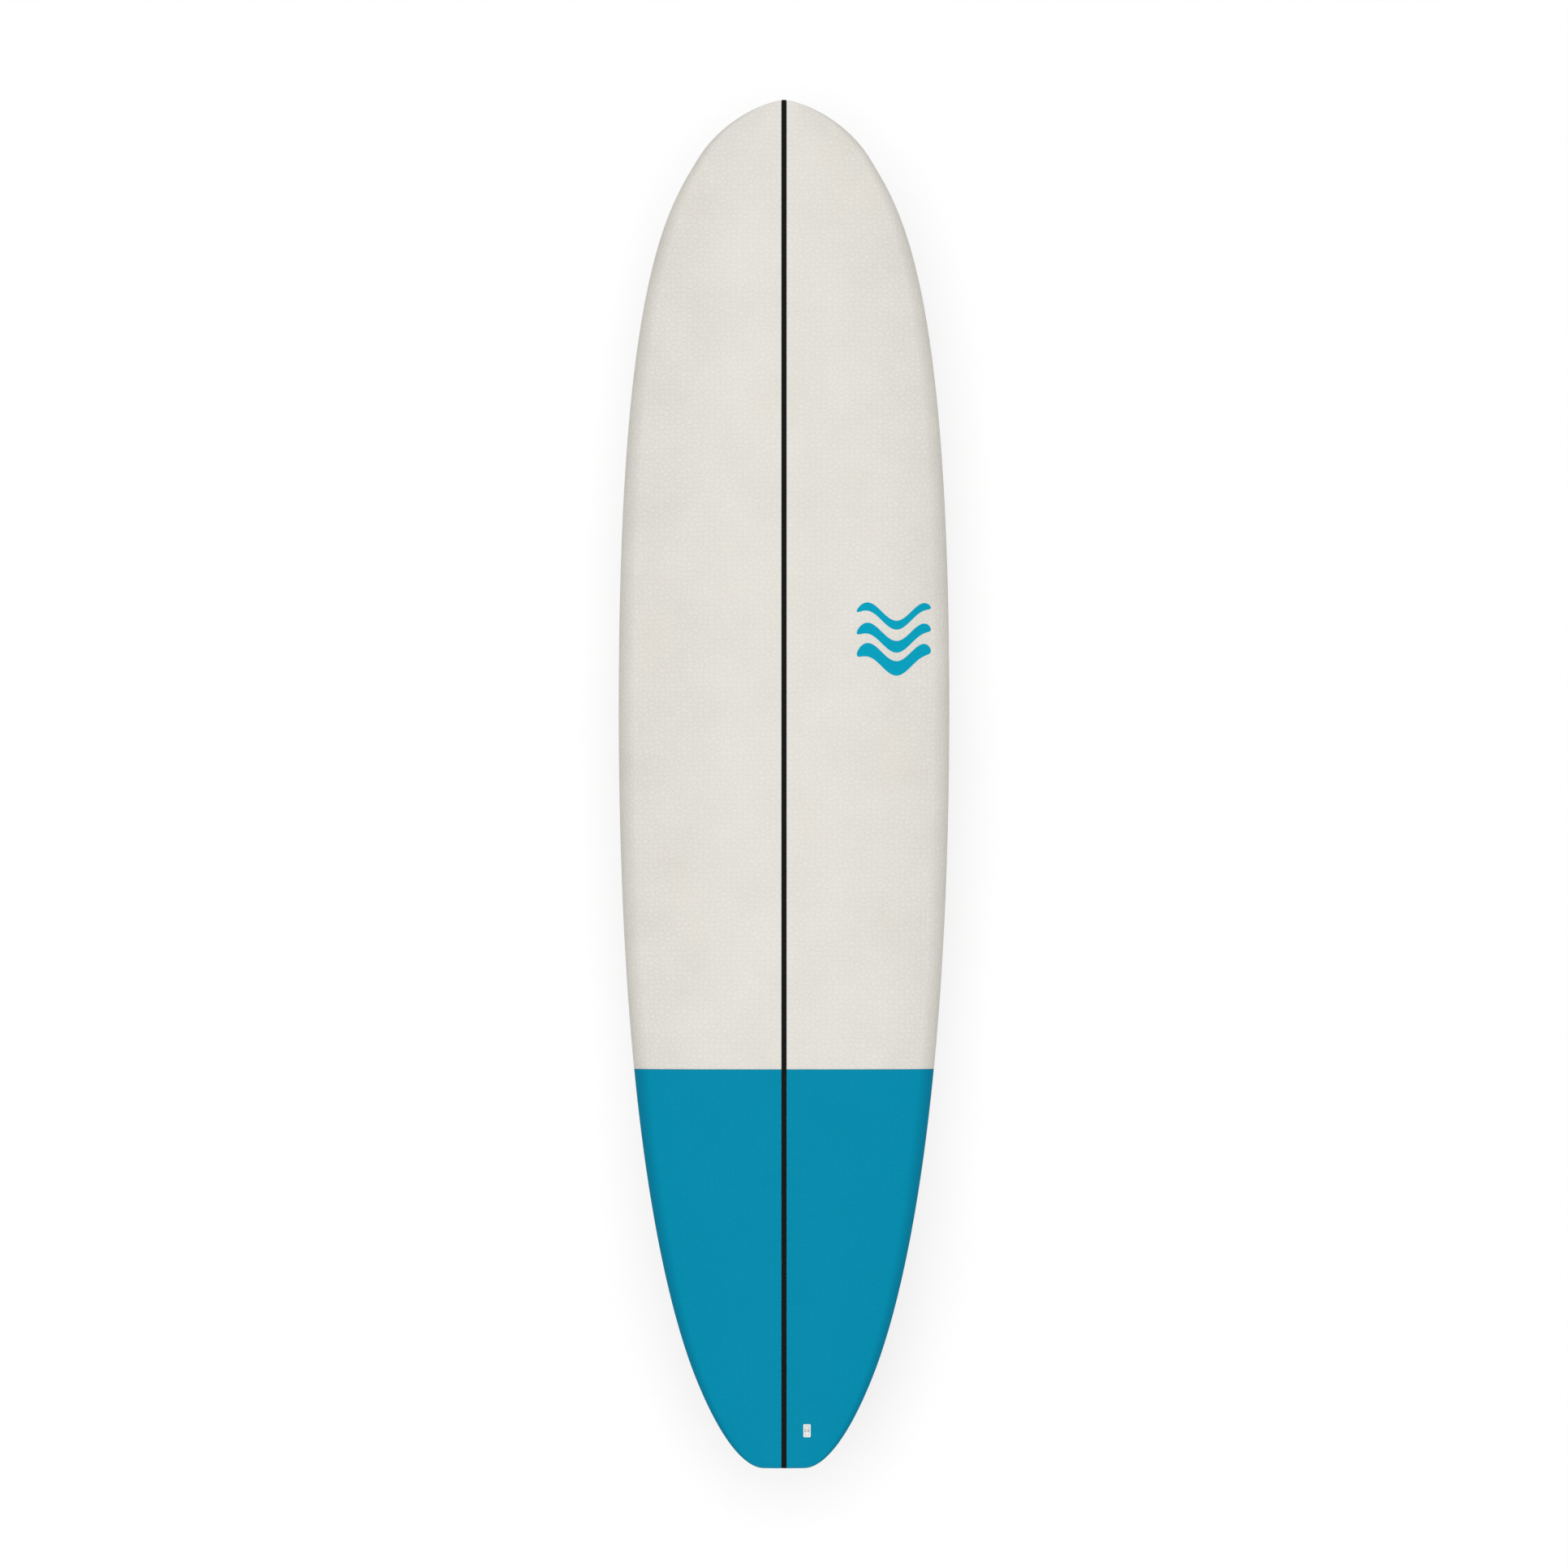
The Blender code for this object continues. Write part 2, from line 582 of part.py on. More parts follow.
def centre_screw(shop, frame):
    """A round-headed screw with a cross recess, its head facing out of the box."""
    chamfer, head_rim, point = 0.0008, 0.0010, 0.0007
    points = [
        (0.0, SCREW_HEAD),
        (SCREW_HEAD_RADIUS - head_rim, SCREW_HEAD),
        (SCREW_HEAD_RADIUS, SCREW_HEAD - chamfer),
        (SCREW_HEAD_RADIUS, 0.0),
        (SCREW_RADIUS, 0.0),
        (SCREW_RADIUS, -SCREW_SHANK + chamfer),
        (SCREW_RADIUS - point, -SCREW_SHANK),
        (0.0, -SCREW_SHANK),
    ]
    screw = shop.piece("centre_fin_screw", profile_mesh("centre_fin_screw", points), "steel", frame)
    screw.location = (0, SCREW_Y, TONGUE_LOW - GAP)
    screw.rotation_euler = (math.pi, 0, 0)
    turned(screw)
    slots = {
        "a": (CROSS_LENGTH, CROSS_WIDTH, 2 * CROSS_DEPTH),
        "b": (CROSS_WIDTH, CROSS_LENGTH, 2 * CROSS_DEPTH),
    }
    for name, size in slots.items():
        recess = block(f"cross_{name}", size, (0, 0, SCREW_HEAD))
        cross = shop.cutter(f"cross_{name}", recess, frame)
        cross.location = screw.location
        cross.rotation_euler = screw.rotation_euler
        boolean(screw, cross)


def centre_set(shop, cuts, core, bottom):
    """The centre fin with all that holds it, and the room for it in the hull."""
    matrix = surface_frame(bottom_height, 0.0, CENTRE_BOX_Y)
    frame = shop.frame("centre_fin_frame", matrix)
    centre_box(shop, frame)
    centre_fin(shop, frame)
    centre_pin(shop, frame)
    nut_plate(shop, frame)
    centre_screw(shop, frame)
    opening = {"depth": THROUGH_SKIN, "radius": CENTRE_CORNER}
    pocket(shop, frame, "centre_flange", CENTRE_FLANGE, [bottom], **opening)
    foam = foam_block(shop, frame, "centre_fin_block", CENTRE_BLOCK, cuts)
    pocket(shop, frame, "centre_box", CENTRE_BOX, [foam])
    pocket(shop, frame, "centre_block", CENTRE_BLOCK, core)


# ---------------------------------------------------------------- side fin sets


def side_box(shop, label, frame):
    """A side fin's slotted box, with the grub screw's hole ahead of the slot."""
    sizes = (SIDE_FLANGE, SIDE_BOX, SIDE_CORNER)
    box = flanged_box(shop, f"side_fin_box_{label}", *sizes, "box_plastic", frame)
    slot = Vector((SIDE_SLOT.x, SIDE_SLOT.y, SIDE_SLOT.z + OUTSIDE))
    slot_mesh = block(f"slot_{label}", slot, (0, SIDE_SLOT_Y, (SIDE_SLOT.z - OUTSIDE) / 2))
    boolean(box, shop.cutter(f"slot_{label}", slot_mesh, frame))
    hole_mesh = rod(f"grub_hole_{label}", GRUB_RADIUS + GAP, 2 * GRUB_HOLE, (0, GRUB_Y, 0))
    boolean(box, shop.cutter(f"grub_hole_{label}", hole_mesh, frame))


def side_fin(shop, label, side, frame):
    """A side fin, flat on its inner face."""
    name = f"side_fin_{label}"
    blade = fin_blade(name, SIDE_CHORD, SIDE_DEPTH, SIDE_RAKE, SIDE_THICK, flat_side=-side)
    tab = Vector((SIDE_THICK, SIDE_CHORD, SIDE_TAB_DEPTH))
    finned(shop, name, blade, tab, frame, SIDE_TAB_Y)


def grub_screw(shop, label, frame):
    """A headless screw with a hexagon socket that faces out of the box."""
    name = f"side_fin_screw_{label}"
    top, end = 0.0005, 0.0010
    points = [
        (0.0, GRUB_LENGTH / 2),
        (GRUB_RADIUS - top, GRUB_LENGTH / 2),
        (GRUB_RADIUS, GRUB_LENGTH / 2 - top),
        (GRUB_RADIUS, -GRUB_LENGTH / 2 + end),
        (GRUB_RADIUS - end, -GRUB_LENGTH / 2),
        (0.0, -GRUB_LENGTH / 2),
    ]
    screw = shop.piece(name, profile_mesh(name, points), "steel", frame)
    screw.location = (0, GRUB_Y, GRUB_TOP + GRUB_LENGTH / 2)
    screw.rotation_euler = (math.pi, 0, 0)
    turned(screw)
    socket_mesh = rod(f"socket_{label}", GRUB_SOCKET, 0.005, (0, 0, GRUB_LENGTH / 2), steps=6)
    socket = shop.cutter(f"socket_{label}", socket_mesh, frame)
    socket.location = screw.location
    socket.rotation_euler = screw.rotation_euler
    boolean(screw, socket)


def side_set(shop, side, cuts, core, bottom):
    """One side fin with all that holds it. side is -1 on the left and 1 on the right."""
    label = "left" if side < 0 else "right"
    y = SIDE_REAR + SIDE_SLOT.y / 2 - HALF
    x = side * (half_width(y) - SIDE_OFF_RAIL)
    matrix = surface_frame(bottom_height, x, y, toe=side * SIDE_TOE)
    frame = shop.frame(f"side_fin_frame_{label}", matrix)
    side_box(shop, label, frame)
    side_fin(shop, label, side, frame)
    grub_screw(shop, label, frame)
    opening = {"depth": THROUGH_SKIN, "radius": SIDE_CORNER}
    pocket(shop, frame, f"side_flange_{label}", SIDE_FLANGE, [bottom], **opening)
    foam = foam_block(shop, frame, f"side_fin_block_{label}", SIDE_BLOCK, cuts)
    pocket(shop, frame, f"side_box_{label}", SIDE_BOX, [foam])
    pocket(shop, frame, f"side_block_{label}", SIDE_BLOCK, [core])


# ---------------------------------------------------------------- leash plug


def leash_cup(shop, frame):
    """A rimmed cup, with a cross hole for its bar."""
    sizes = (LEASH_FLANGE, LEASH_CUP, LEASH_CORNER)
    cup = flanged_box(shop, "leash_cup", *sizes, "plug_plastic", frame, into=-1)
    hollow = Vector((LEASH_HOLLOW.x, LEASH_HOLLOW.y, LEASH_HOLLOW.z + OUTSIDE))
    centre = (0, 0, (OUTSIDE - LEASH_HOLLOW.z) / 2)
    hollow_mesh = block("leash_hollow", hollow, centre, HOLLOW_CORNER)
    boolean(cup, shop.cutter("leash_hollow", hollow_mesh, frame))
    hole_mesh = rod("leash_bar_hole", LEASH_BAR_RADIUS + GAP, BORE, (0, 0, -LEASH_BAR_DROP), "X")
    boolean(cup, shop.cutter("leash_bar_hole", hole_mesh, frame))


def leash_plug(shop, cuts, core, skin_panel):
    """The leash plug in the deck: its cup, its cross bar and the foam block round it."""
    matrix = surface_frame(deck_height, LEASH_X, LEASH_Y)
    frame = shop.frame("leash_frame", matrix)
    leash_cup(shop, frame)
    bar_mesh = rod("leash_bar", LEASH_BAR_RADIUS, LEASH_BAR_LENGTH, along="X")
    bar = shop.piece("leash_bar", bar_mesh, "steel", frame)
    bar.location = (0, 0, -LEASH_BAR_DROP)
    opening = {"depth": THROUGH_SKIN, "radius": LEASH_CORNER, "into": -1}
    pocket(shop, frame, "leash_flange", LEASH_FLANGE, [skin_panel], **opening)
    foam = foam_block(shop, frame, "leash_block", LEASH_BLOCK, cuts, into=-1)
    pocket(shop, frame, "leash_cup", LEASH_CUP, [foam], into=-1)
    pocket(shop, frame, "leash_block", LEASH_BLOCK, [core], into=-1)


def main():
    clear_scene()
    shop = Workshop()
    cuts = hull_cutters(shop)
    skins = deck_skins(shop, cuts)
    deck_stripe(shop, cuts)
    bottom = bottom_skin(shop, cuts)
    core = core_pieces(shop)
    centre_set(shop, cuts, list(core.values()), bottom)
    side_set(shop, -1, cuts, core["core_left"], bottom)
    side_set(shop, 1, cuts, core["core_right"], bottom)
    leash_plug(shop, cuts, core["core_right"], skins["deck_skin_tail_right"])
    bpy.context.view_layer.update()


main()
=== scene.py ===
"""Looks of the soft-deck longboard surfboard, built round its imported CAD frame.

Metres. The board lies deck up: +Y runs from tail to nose, +X to the right seen from above, +Z up.
"""

import json
import math

import bmesh
import bpy
import numpy as np
from mathutils import Matrix, Vector


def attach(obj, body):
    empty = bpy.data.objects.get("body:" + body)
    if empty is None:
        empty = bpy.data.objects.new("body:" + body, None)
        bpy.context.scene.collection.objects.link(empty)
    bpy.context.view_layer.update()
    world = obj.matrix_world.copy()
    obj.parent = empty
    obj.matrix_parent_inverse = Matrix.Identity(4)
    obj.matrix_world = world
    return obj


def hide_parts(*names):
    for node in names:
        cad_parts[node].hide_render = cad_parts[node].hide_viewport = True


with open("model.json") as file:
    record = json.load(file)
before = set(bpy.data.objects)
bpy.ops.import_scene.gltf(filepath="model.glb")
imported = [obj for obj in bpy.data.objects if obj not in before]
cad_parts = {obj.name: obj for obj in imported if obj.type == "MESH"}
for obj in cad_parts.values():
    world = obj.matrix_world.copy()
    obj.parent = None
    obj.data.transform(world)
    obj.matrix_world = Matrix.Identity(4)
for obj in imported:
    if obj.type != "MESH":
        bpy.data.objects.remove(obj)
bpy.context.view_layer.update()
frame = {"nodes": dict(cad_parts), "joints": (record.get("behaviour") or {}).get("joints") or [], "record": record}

NODES = frame["nodes"]
JOINTS = {joint["name"]: joint for joint in frame["joints"]}
MOUNTS = {mount["name"]: mount for mount in frame["record"]["mounts"]}

# Hull, as in the CAD
LENGTH = 2.4384
HALF = LENGTH / 2
THICKNESS, THICKEST_Y = 0.079, 0.05
NOSE_THICKNESS, NOSE_FOIL = 0.020, 2.4
TAIL_THICKNESS, TAIL_FOIL = 0.026, 3.0
FLAT_ROCKER_HALF = 0.15
NOSE_ROCKER, NOSE_ROCKER_POWER = 0.110, 2.4
TAIL_ROCKER, TAIL_ROCKER_POWER = 0.060, 2.2
END_ROUND, END_BLUNT = 0.010, 0.0007
APEX_SHARE, SEAM_SHARE = 0.45, 0.33
DECK_POWER, BOTTOM_POWER, FLAT_SHARE = 2.5, 5.0, 0.45
KNOTS = (
    (None, (0.0360, 0.0), (0.0554, 0.0), 44),
    ((0.1005, 0.0176), (0.1584, 0.1623), (0.2045, 0.2779), 120),
    ((0.2955, 0.598), (0.2955, 1.357), (0.2955, 2.126), 120),
    ((0.2060, 2.248), (0.1535, 2.334), (0.1194, 2.390), 60),
    ((0.0540, LENGTH - 0.008), (0.0, LENGTH), None, 0),
)
GAP = 0.0003
DECK_SKIN, RAIL_SKIN, BOTTOM_SKIN, END_SKIN = 0.005, 0.004, 0.0024, 0.008
STRIPE_HALF = 0.0044
COLOUR_SPLIT_Y = 0.7116 - HALF
EDGE = 0.0004  # how far each foam edge is eased

# Fin sets and leash plug, as in the CAD
CENTRE_FLANGE, CENTRE_BOX = (0.030, 0.272, 0.0020), (0.025, 0.266, 0.0245)
CENTRE_SLOT, CHANNEL_WIDTH, CHANNEL = (0.0096, 0.250, 0.0210), 0.0154, (0.0090, 0.0136)
ENTRY_LENGTH = 0.016
CENTRE_FIN = {"chord": 0.152, "depth": 0.178, "rake": 0.156, "thick": 0.0090}
CENTRE_TAB = 0.0195
TONGUE_LENGTH, TONGUE = 0.016, (0.0034, 0.0076)
PIN_RADIUS, PIN_LENGTH, PIN_HEIGHT = 0.0016, 0.0148, 0.0113
PIN_Y, SCREW_Y = -0.067, 0.084  # along the centre box, from its middle
SCREW_RADIUS, SCREW_HEAD_RADIUS, SCREW_HEAD, SCREW_SHANK = 0.0020, 0.0040, 0.0024, 0.0118
PLATE = (0.0146, 0.0100, 0.0030)
SIDE_FLANGE, SIDE_BOX, SIDE_SLOT = (0.0160, 0.128, 0.0016), (0.0130, 0.124, 0.0175), (0.0069, 0.112, 0.0145)
SIDE_SLOT_Y, SIDE_TAB_Y, GRUB_Y = -0.002, -0.0022, 0.0555
SIDE_FIN = {"chord": 0.1105, "depth": 0.100, "rake": 0.104, "thick": 0.0062}
SIDE_TAB, SIDE_TOE = 0.0135, math.radians(3.0)
GRUB_RADIUS, GRUB_LENGTH, GRUB_TOP, GRUB_SOCKET = 0.0020, 0.0090, 0.0010, 0.0012
LEASH_FLANGE = (0.0129, 0.0230, 0.0016)
LEASH_CUP = (0.0115, 0.0216, 0.0150)
LEASH_HOLLOW = (0.0093, 0.0194, 0.0125)
LEASH_CORNER, WELL_CORNER = 0.0015, 0.0012
LEASH_BAR_RADIUS, LEASH_BAR_LENGTH, LEASH_BAR_DROP = 0.0013, 0.0110, 0.0035
CENTRE_CORNER, SIDE_CORNER = 0.006, 0.003
SLOT_CORNER, ENTRY_CORNER = 0.001, 0.002
BLADE_ROOT, TIP_CHORD, TIP_THICK = 0.004, 0.006, 0.0012
BLADE_SWEEP, BLADE_CURL, BLADE_HOLLOW, BLADE_TRAIL, BLADE_THICK = 2.1, 0.4, 0.26, 0.08, 0.9
FOIL_TERMS = ((2.969, 0.5), (-1.26, 1), (-3.516, 2), (2.843, 3), (-1.015, 4))  # (factor, power)
FRONT_EDGE, REAR_EDGE = 0.0005, 0.0004  # half the thickness left at a fin's two edges
TAB_START, TONGUE_OVERLAP = 0.0004, 0.004
TAB_CORNER, SIDE_TAB_CORNER, TONGUE_CORNER = 0.0012, 0.001, 0.0015
CROSS_LONG, CROSS_WIDE, CROSS_DEEP = 0.0048, 0.0010, 0.0016

# How fine the hull's sections are, and how its edges and its openings are made
SECTION, UNDER, STRIPE_ACROSS = 120, 60, 7
OUTER, LEDGE = 74, 6
FOIL_POINTS, BLADE_RINGS = 26, 44
SHARP = math.radians(35)  # edges sharper than this are shaded as edges
MOULD_EDGE, PLATE_EDGE = 0.0003, 0.0002  # how far the edges of plastic and of the plate are eased
THROUGH_SKIN, BORE, GRUB_BORE, SOCKET_BORE = 0.012, 0.02, 0.024, 0.005
ABOVE_SKIN, ABOVE_BOX, ABOVE_HEAD = 0.006, 0.004, 0.001  # how far cutters stand out
ACROSS = Matrix.Rotation(math.pi / 2, 4, "Y")
HALF_TURN = Matrix.Rotation(math.pi, 4, "X")

# Emblem: three plain wave bands on the deck, right of the stripe
EMBLEM_CENTRE, EMBLEM_SIZE = (0.196, 0.263), 0.133
BAND_PITCH, BAND_THICK = 0.29, (0.026, 0.021, 0.016)
BAND_POINTS, BAND_ACROSS = 90, 8
WAVE_HEIGHT, WAVE_TURNS, WAVE_START = 0.125, 1.25, 0.08
FILM, FILM_LIFT = 0.00012, 0.00006

# The camera looks straight down; the board's two ends lie this high on average
CAMERA_HEIGHT, CAMERA_Y, FRAME_HEIGHT, ENDS_HEIGHT = 18.0, 0.0015, LENGTH / 0.8727, 0.0955
FLOOR_Z, FLOOR_RADIUS, FLOOR_BEND, WALL_HEIGHT = -0.22, 26.0, 12.0, 6.0
SUN_STRENGTH, SUN_SPREAD, SUN_TILT = 1.69, 50, (-6, -2)
SKY_STRENGTH, FLOOR_STRENGTH = 0.46, 0.50


def set_axes(point, up, ahead, above=0.0, toe=0.0):
    """A set's frame, from a point ahead of its origin and above it. Y points to the nose, turned by toe."""
    up = Vector(up).normalized()
    heading = Vector((-math.sin(toe), math.cos(toe), 0))
    along = (heading - heading.dot(up) * up).normalized()
    turn = Matrix((along.cross(up), along, up)).transposed().to_4x4()
    return Matrix.Translation(Vector(point) - ahead * along - above * up) @ turn


def fin_axes(screw, ahead, above, toe=0.0):
    """A fin set's frame, from the joint of the screw that holds its fin. Z points into the hull."""
    joint = JOINTS[f"{screw}_turn"]
    return set_axes(joint["pos_m"], -Vector(joint["axis"]), ahead, above, toe)


def side_axes(side):
    """A side fin set's frame. side is -1 on the left and 1 on the right."""
    label = "left" if side < 0 else "right"
    above = GRUB_TOP + GRUB_LENGTH / 2
    return fin_axes(f"side_fin_screw_{label}", GRUB_Y, above, side * SIDE_TOE)


CENTRE_AXES = fin_axes("centre_fin_screw", SCREW_Y, TONGUE[0] - GAP)
RIM = MOUNTS["leash_plug_rim"]
LEASH_AXES = set_axes(RIM["pos_m"], RIM["axis"], (LEASH_FLANGE[1] + LEASH_HOLLOW[1]) / 4)


def srgb(red, green, blue):
    """Linear colour of an 8-bit screen colour."""
    shares = (v / 255 for v in (red, green, blue))
    return tuple(v / 12.92 if v < 0.0405 else ((v + 0.055) / 1.055) ** 2.4 for v in shares)


# ---------------------------------------------------------------- node helpers


class Paint:
    """A material and short ways to add nodes to it."""

    def __init__(self, name, roughness=0.5, metallic=0.0):
        self.material = bpy.data.materials.new(name)
        self.material.use_nodes = True
        self.tree = self.material.node_tree
        self.shader = self.tree.nodes["Principled BSDF"]
        self.shader.inputs["Roughness"].default_value = roughness
        self.shader.inputs["Metallic"].default_value = metallic

    def node(self, kind, **settings):
        made = self.tree.nodes.new(kind)
        for name, value in settings.items():
            setattr(made, name, value)
        return made

    def link(self, source, target):
        self.tree.links.new(source, target)

    def put(self, socket, value):
        if isinstance(value, bpy.types.NodeSocket):
            self.link(value, socket)
        else:
            socket.default_value = value

    def object_coords(self, scale=(1, 1, 1)):
        """The row frame's coordinates in metres, stretched by scale."""
        coords = self.node("ShaderNodeTexCoord").outputs["Object"]
        return self.mapped(coords, scale)

    def deck_coords(self, scale=(1, 1, 1)):
        """Distances in metres across and along the deck's surface, stretched by scale."""
        return self.mapped(self.node("ShaderNodeUVMap", uv_map="deck").outputs["UV"], scale)

    def mapped(self, coords, scale):
        mapping = self.node("ShaderNodeMapping")
        mapping.inputs["Scale"].default_value = scale
        self.link(coords, mapping.inputs["Vector"])
        return mapping.outputs["Vector"]

    def swayed(self, coords, scale, reach, stretch):
        """Coordinates bent sideways by a slow noise, up to reach, then stretched."""
        noise = self.node("ShaderNodeTexNoise")
        self.link(coords, noise.inputs["Vector"])
        noise.inputs["Scale"].default_value = scale
        offset = self.node("ShaderNodeVectorMath", operation="MULTIPLY_ADD")
        self.link(noise.outputs["Color"], offset.inputs[0])
        offset.inputs[1].default_value = (reach, reach, 0.0)
        self.link(coords, offset.inputs[2])
        return self.mapped(offset.outputs[0], stretch)

    def noise(self, coords, scale, detail=3.0, roughness=0.5, distortion=0.0):
        node = self.node("ShaderNodeTexNoise")
        self.link(coords, node.inputs["Vector"])
        node.inputs["Scale"].default_value = scale
        node.inputs["Detail"].default_value = detail
        node.inputs["Roughness"].default_value = roughness
        node.inputs["Distortion"].default_value = distortion
        return node.outputs["Fac"]

    def voronoi(self, coords, scale, feature="F1", randomness=1.0, dimensions="3D"):
        node = self.node("ShaderNodeTexVoronoi", feature=feature, voronoi_dimensions=dimensions)
        self.link(coords, node.inputs["Vector"])
        node.inputs["Scale"].default_value = scale
        node.inputs["Randomness"].default_value = randomness
        return node

    def span(self, value, low, high, to_low=0.0, to_high=1.0, smooth=False):
        """value's share of the way from low to high, on to_low to to_high."""
        node = self.node("ShaderNodeMapRange", interpolation_type="SMOOTHSTEP" if smooth else "LINEAR")
        self.link(value, node.inputs["Value"])
        for name, number in (("From Min", low), ("From Max", high), ("To Min", to_low), ("To Max", to_high)):
            node.inputs[name].default_value = number
        return node.outputs["Result"]

    def maths(self, operation, first, second=0.5):
        node = self.node("ShaderNodeMath", operation=operation)
        self.put(node.inputs[0], first)
        self.put(node.inputs[1], second)
        return node.outputs[0]

    def mix(self, share, first, second, blend="MIX"):
        node = self.node("ShaderNodeMix", data_type="RGBA", blend_type=blend)
        self.put(node.inputs["Factor"], share)
        for socket, value in ((node.inputs[6], first), (node.inputs[7], second)):
            self.put(socket, (*value, 1.0) if isinstance(value, tuple) else value)
        return node.outputs[2]

    def bump(self, height, distance, strength=1.0, after=None):
        node = self.node("ShaderNodeBump")
        self.link(height, node.inputs["Height"])
        node.inputs["Distance"].default_value = distance
        self.put(node.inputs["Strength"], strength)
        if after is not None:
            self.link(after, node.inputs["Normal"])
        return node.outputs["Normal"]

    def finish(self, colour, roughness=None, normal=None):
        self.link(colour, self.shader.inputs["Base Color"])
        if roughness is not None:
            self.link(roughness, self.shader.inputs["Roughness"])
        if normal is not None:
            self.link(normal, self.shader.inputs["Normal"])
        return self.material


# ---------------------------------------------------------------- materials


def deck_foam(name, light, dark, grain=1.0, warm=None):
    """Cross-linked deck foam with an embossed hide-like grain, in rows of rounded cells, with shade painted into
    its grooves and towards the rail.
    """
    paint = Paint(name)
    coords = paint.deck_coords()
    cells = paint.swayed(coords, 30.0, 0.004, (1.0, 1.15, 1.0))
    edge = paint.voronoi(cells, 100.0, "DISTANCE_TO_EDGE", 0.75, "2D").outputs["Distance"]
    pillow = paint.span(edge, 0.0, 0.38, smooth=True)
    groove = paint.span(edge, 0.0, 0.14, 1.0, 0.0, smooth=True)
    small = paint.voronoi(cells, 330.0, "DISTANCE_TO_EDGE", 0.9, "2D").outputs["Distance"]
    crease = paint.span(small, 0.0, 0.10, smooth=True)
    uneven = paint.noise(coords, 9.0, 3.0)
    height = paint.maths("ADD", pillow, paint.maths("MULTIPLY", crease, 0.28))
    skin = paint.noise(coords, 900.0, 2.0)
    height = paint.maths("ADD", height, paint.maths("MULTIPLY", skin, 0.10))
    rail = paint.node("ShaderNodeAttribute", attribute_name="rail").outputs["Fac"]
    relief = paint.span(rail, 0.35, 1.0, 0.60, 0.9)
    strength = paint.maths("MULTIPLY", relief, paint.span(uneven, 0.3, 0.7, 0.8, 1.0))
    strength = paint.maths("MULTIPLY", strength, grain)
    normal = paint.bump(height, 0.0013, strength)
    # Painted shade: the grain's grooves are darkened towards the dark tone, more strongly towards the rail.
    shade = paint.maths("MULTIPLY", groove, paint.span(rail, 0.3, 1.0, 0.28 * grain, 0.40 * grain))
    colour = paint.mix(shade, light, dark)
    if warm is not None:
        blotch = paint.noise(paint.deck_coords((1.0, 0.35, 1.0)), 7.0, 4.0, 0.6)
        colour = paint.mix(paint.span(blotch, 0.52, 0.78, 0.0, 0.6), colour, warm)
    colour = paint.mix(paint.span(uneven, 0.3, 0.75, 0.0, 0.10), colour, dark)
    # Painted shade: the colour darkens towards the dark tone over the last tenth of the way out to the rail,
    # standing in for the rail turning away from the light.
    colour = paint.mix(paint.span(rail, 0.90, 0.99), colour, dark)
    roughness = paint.span(paint.noise(coords, 160.0, 3.0), 0.25, 0.75, 0.56, 0.70)
    paint.shader.inputs["Specular IOR Level"].default_value = 0.04
    return paint.finish(colour, roughness, normal)


def slick_skin():
    """Glossy extruded bottom sheet, faintly rippled, with fine lengthwise hairlines."""
    paint = Paint("slick_bottom")
    coords = paint.object_coords()
    ripple = paint.noise(coords, 55.0, 2.0)
    hairs = paint.noise(paint.object_coords((900.0, 6.0, 900.0)), 1.0, 3.0)
    normal = paint.bump(ripple, 0.00010, 0.15)
    normal = paint.bump(hairs, 0.00001, 0.4, normal)
    cloud = paint.span(paint.noise(coords, 3.0, 2.0), 0.3, 0.7, smooth=True)
    colour = paint.mix(cloud, srgb(220, 221, 218), srgb(214, 215, 212))
    roughness = paint.span(paint.noise(coords, 70.0, 4.0), 0.3, 0.7, 0.30, 0.40)
    return paint.finish(colour, roughness, normal)


def fin_nylon():
    """Black moulded nylon with a fine spark-etched texture and faint flow marks."""
    paint = Paint("fin_nylon")
    coords = paint.object_coords()
    etched = paint.noise(coords, 1500.0, 2.0)
    flow = paint.noise(paint.object_coords((1.0, 6.0, 18.0)), 5.0, 4.0, 0.6, 0.4)
    normal = paint.bump(etched, 0.00012, 0.6)
    colour = paint.mix(paint.span(flow, 0.3, 0.7), (0.012, 0.013, 0.014), (0.022, 0.023, 0.025))
    roughness = paint.span(flow, 0.3, 0.7, 0.36, 0.50)
    return paint.finish(colour, roughness, normal)


def moulded_plastic(name, light, dark, roughness):
    """Moulded off-white plastic with a fine etched surface and slight unevenness."""
    paint = Paint(name)
    coords = paint.object_coords()
    normal = paint.bump(paint.noise(coords, 1300.0, 2.0), 0.00008, 0.5)
    cloud = paint.span(paint.noise(coords, 60.0, 3.0), 0.35, 0.7)
    colour = paint.mix(cloud, light, dark)
    rough = paint.span(paint.noise(coords, 240.0, 3.0), 0.3, 0.7, roughness - 0.06, roughness + 0.06)
    return paint.finish(colour, rough, normal)


def bare_metal(name, light, dark, roughness):
    """Turned metal with fine tool marks and slightly duller patches."""
    paint = Paint(name, metallic=1.0)
    coords = paint.object_coords()
    marks = paint.noise(paint.object_coords((300.0, 300.0, 5200.0)), 1.0, 2.0)
    normal = paint.bump(marks, 0.00004, 0.5)
    dull = paint.span(paint.noise(coords, 320.0, 4.0), 0.4, 0.7)
    colour = paint.mix(dull, light, dark)
    rough = paint.span(paint.noise(coords, 500.0, 3.0), 0.3, 0.7, roughness - 0.07, roughness + 0.09)
    return paint.finish(colour, rough, normal)


def bead_foam():
    """White core foam of fused beads."""
    paint = Paint("core_beads")
    coords = paint.object_coords()
    beads = paint.voronoi(coords, 260.0, "DISTANCE_TO_EDGE")
    tone = paint.voronoi(coords, 260.0).outputs["Distance"]
    joint = paint.span(beads.outputs["Distance"], 0.0, 0.12, smooth=True)
    normal = paint.bump(joint, 0.0005, 0.7)
    colour = paint.mix(joint, (0.70, 0.70, 0.68), (0.86, 0.86, 0.84))
    return paint.finish(colour, paint.span(tone, 0.0, 0.6, 0.78, 0.92), normal)


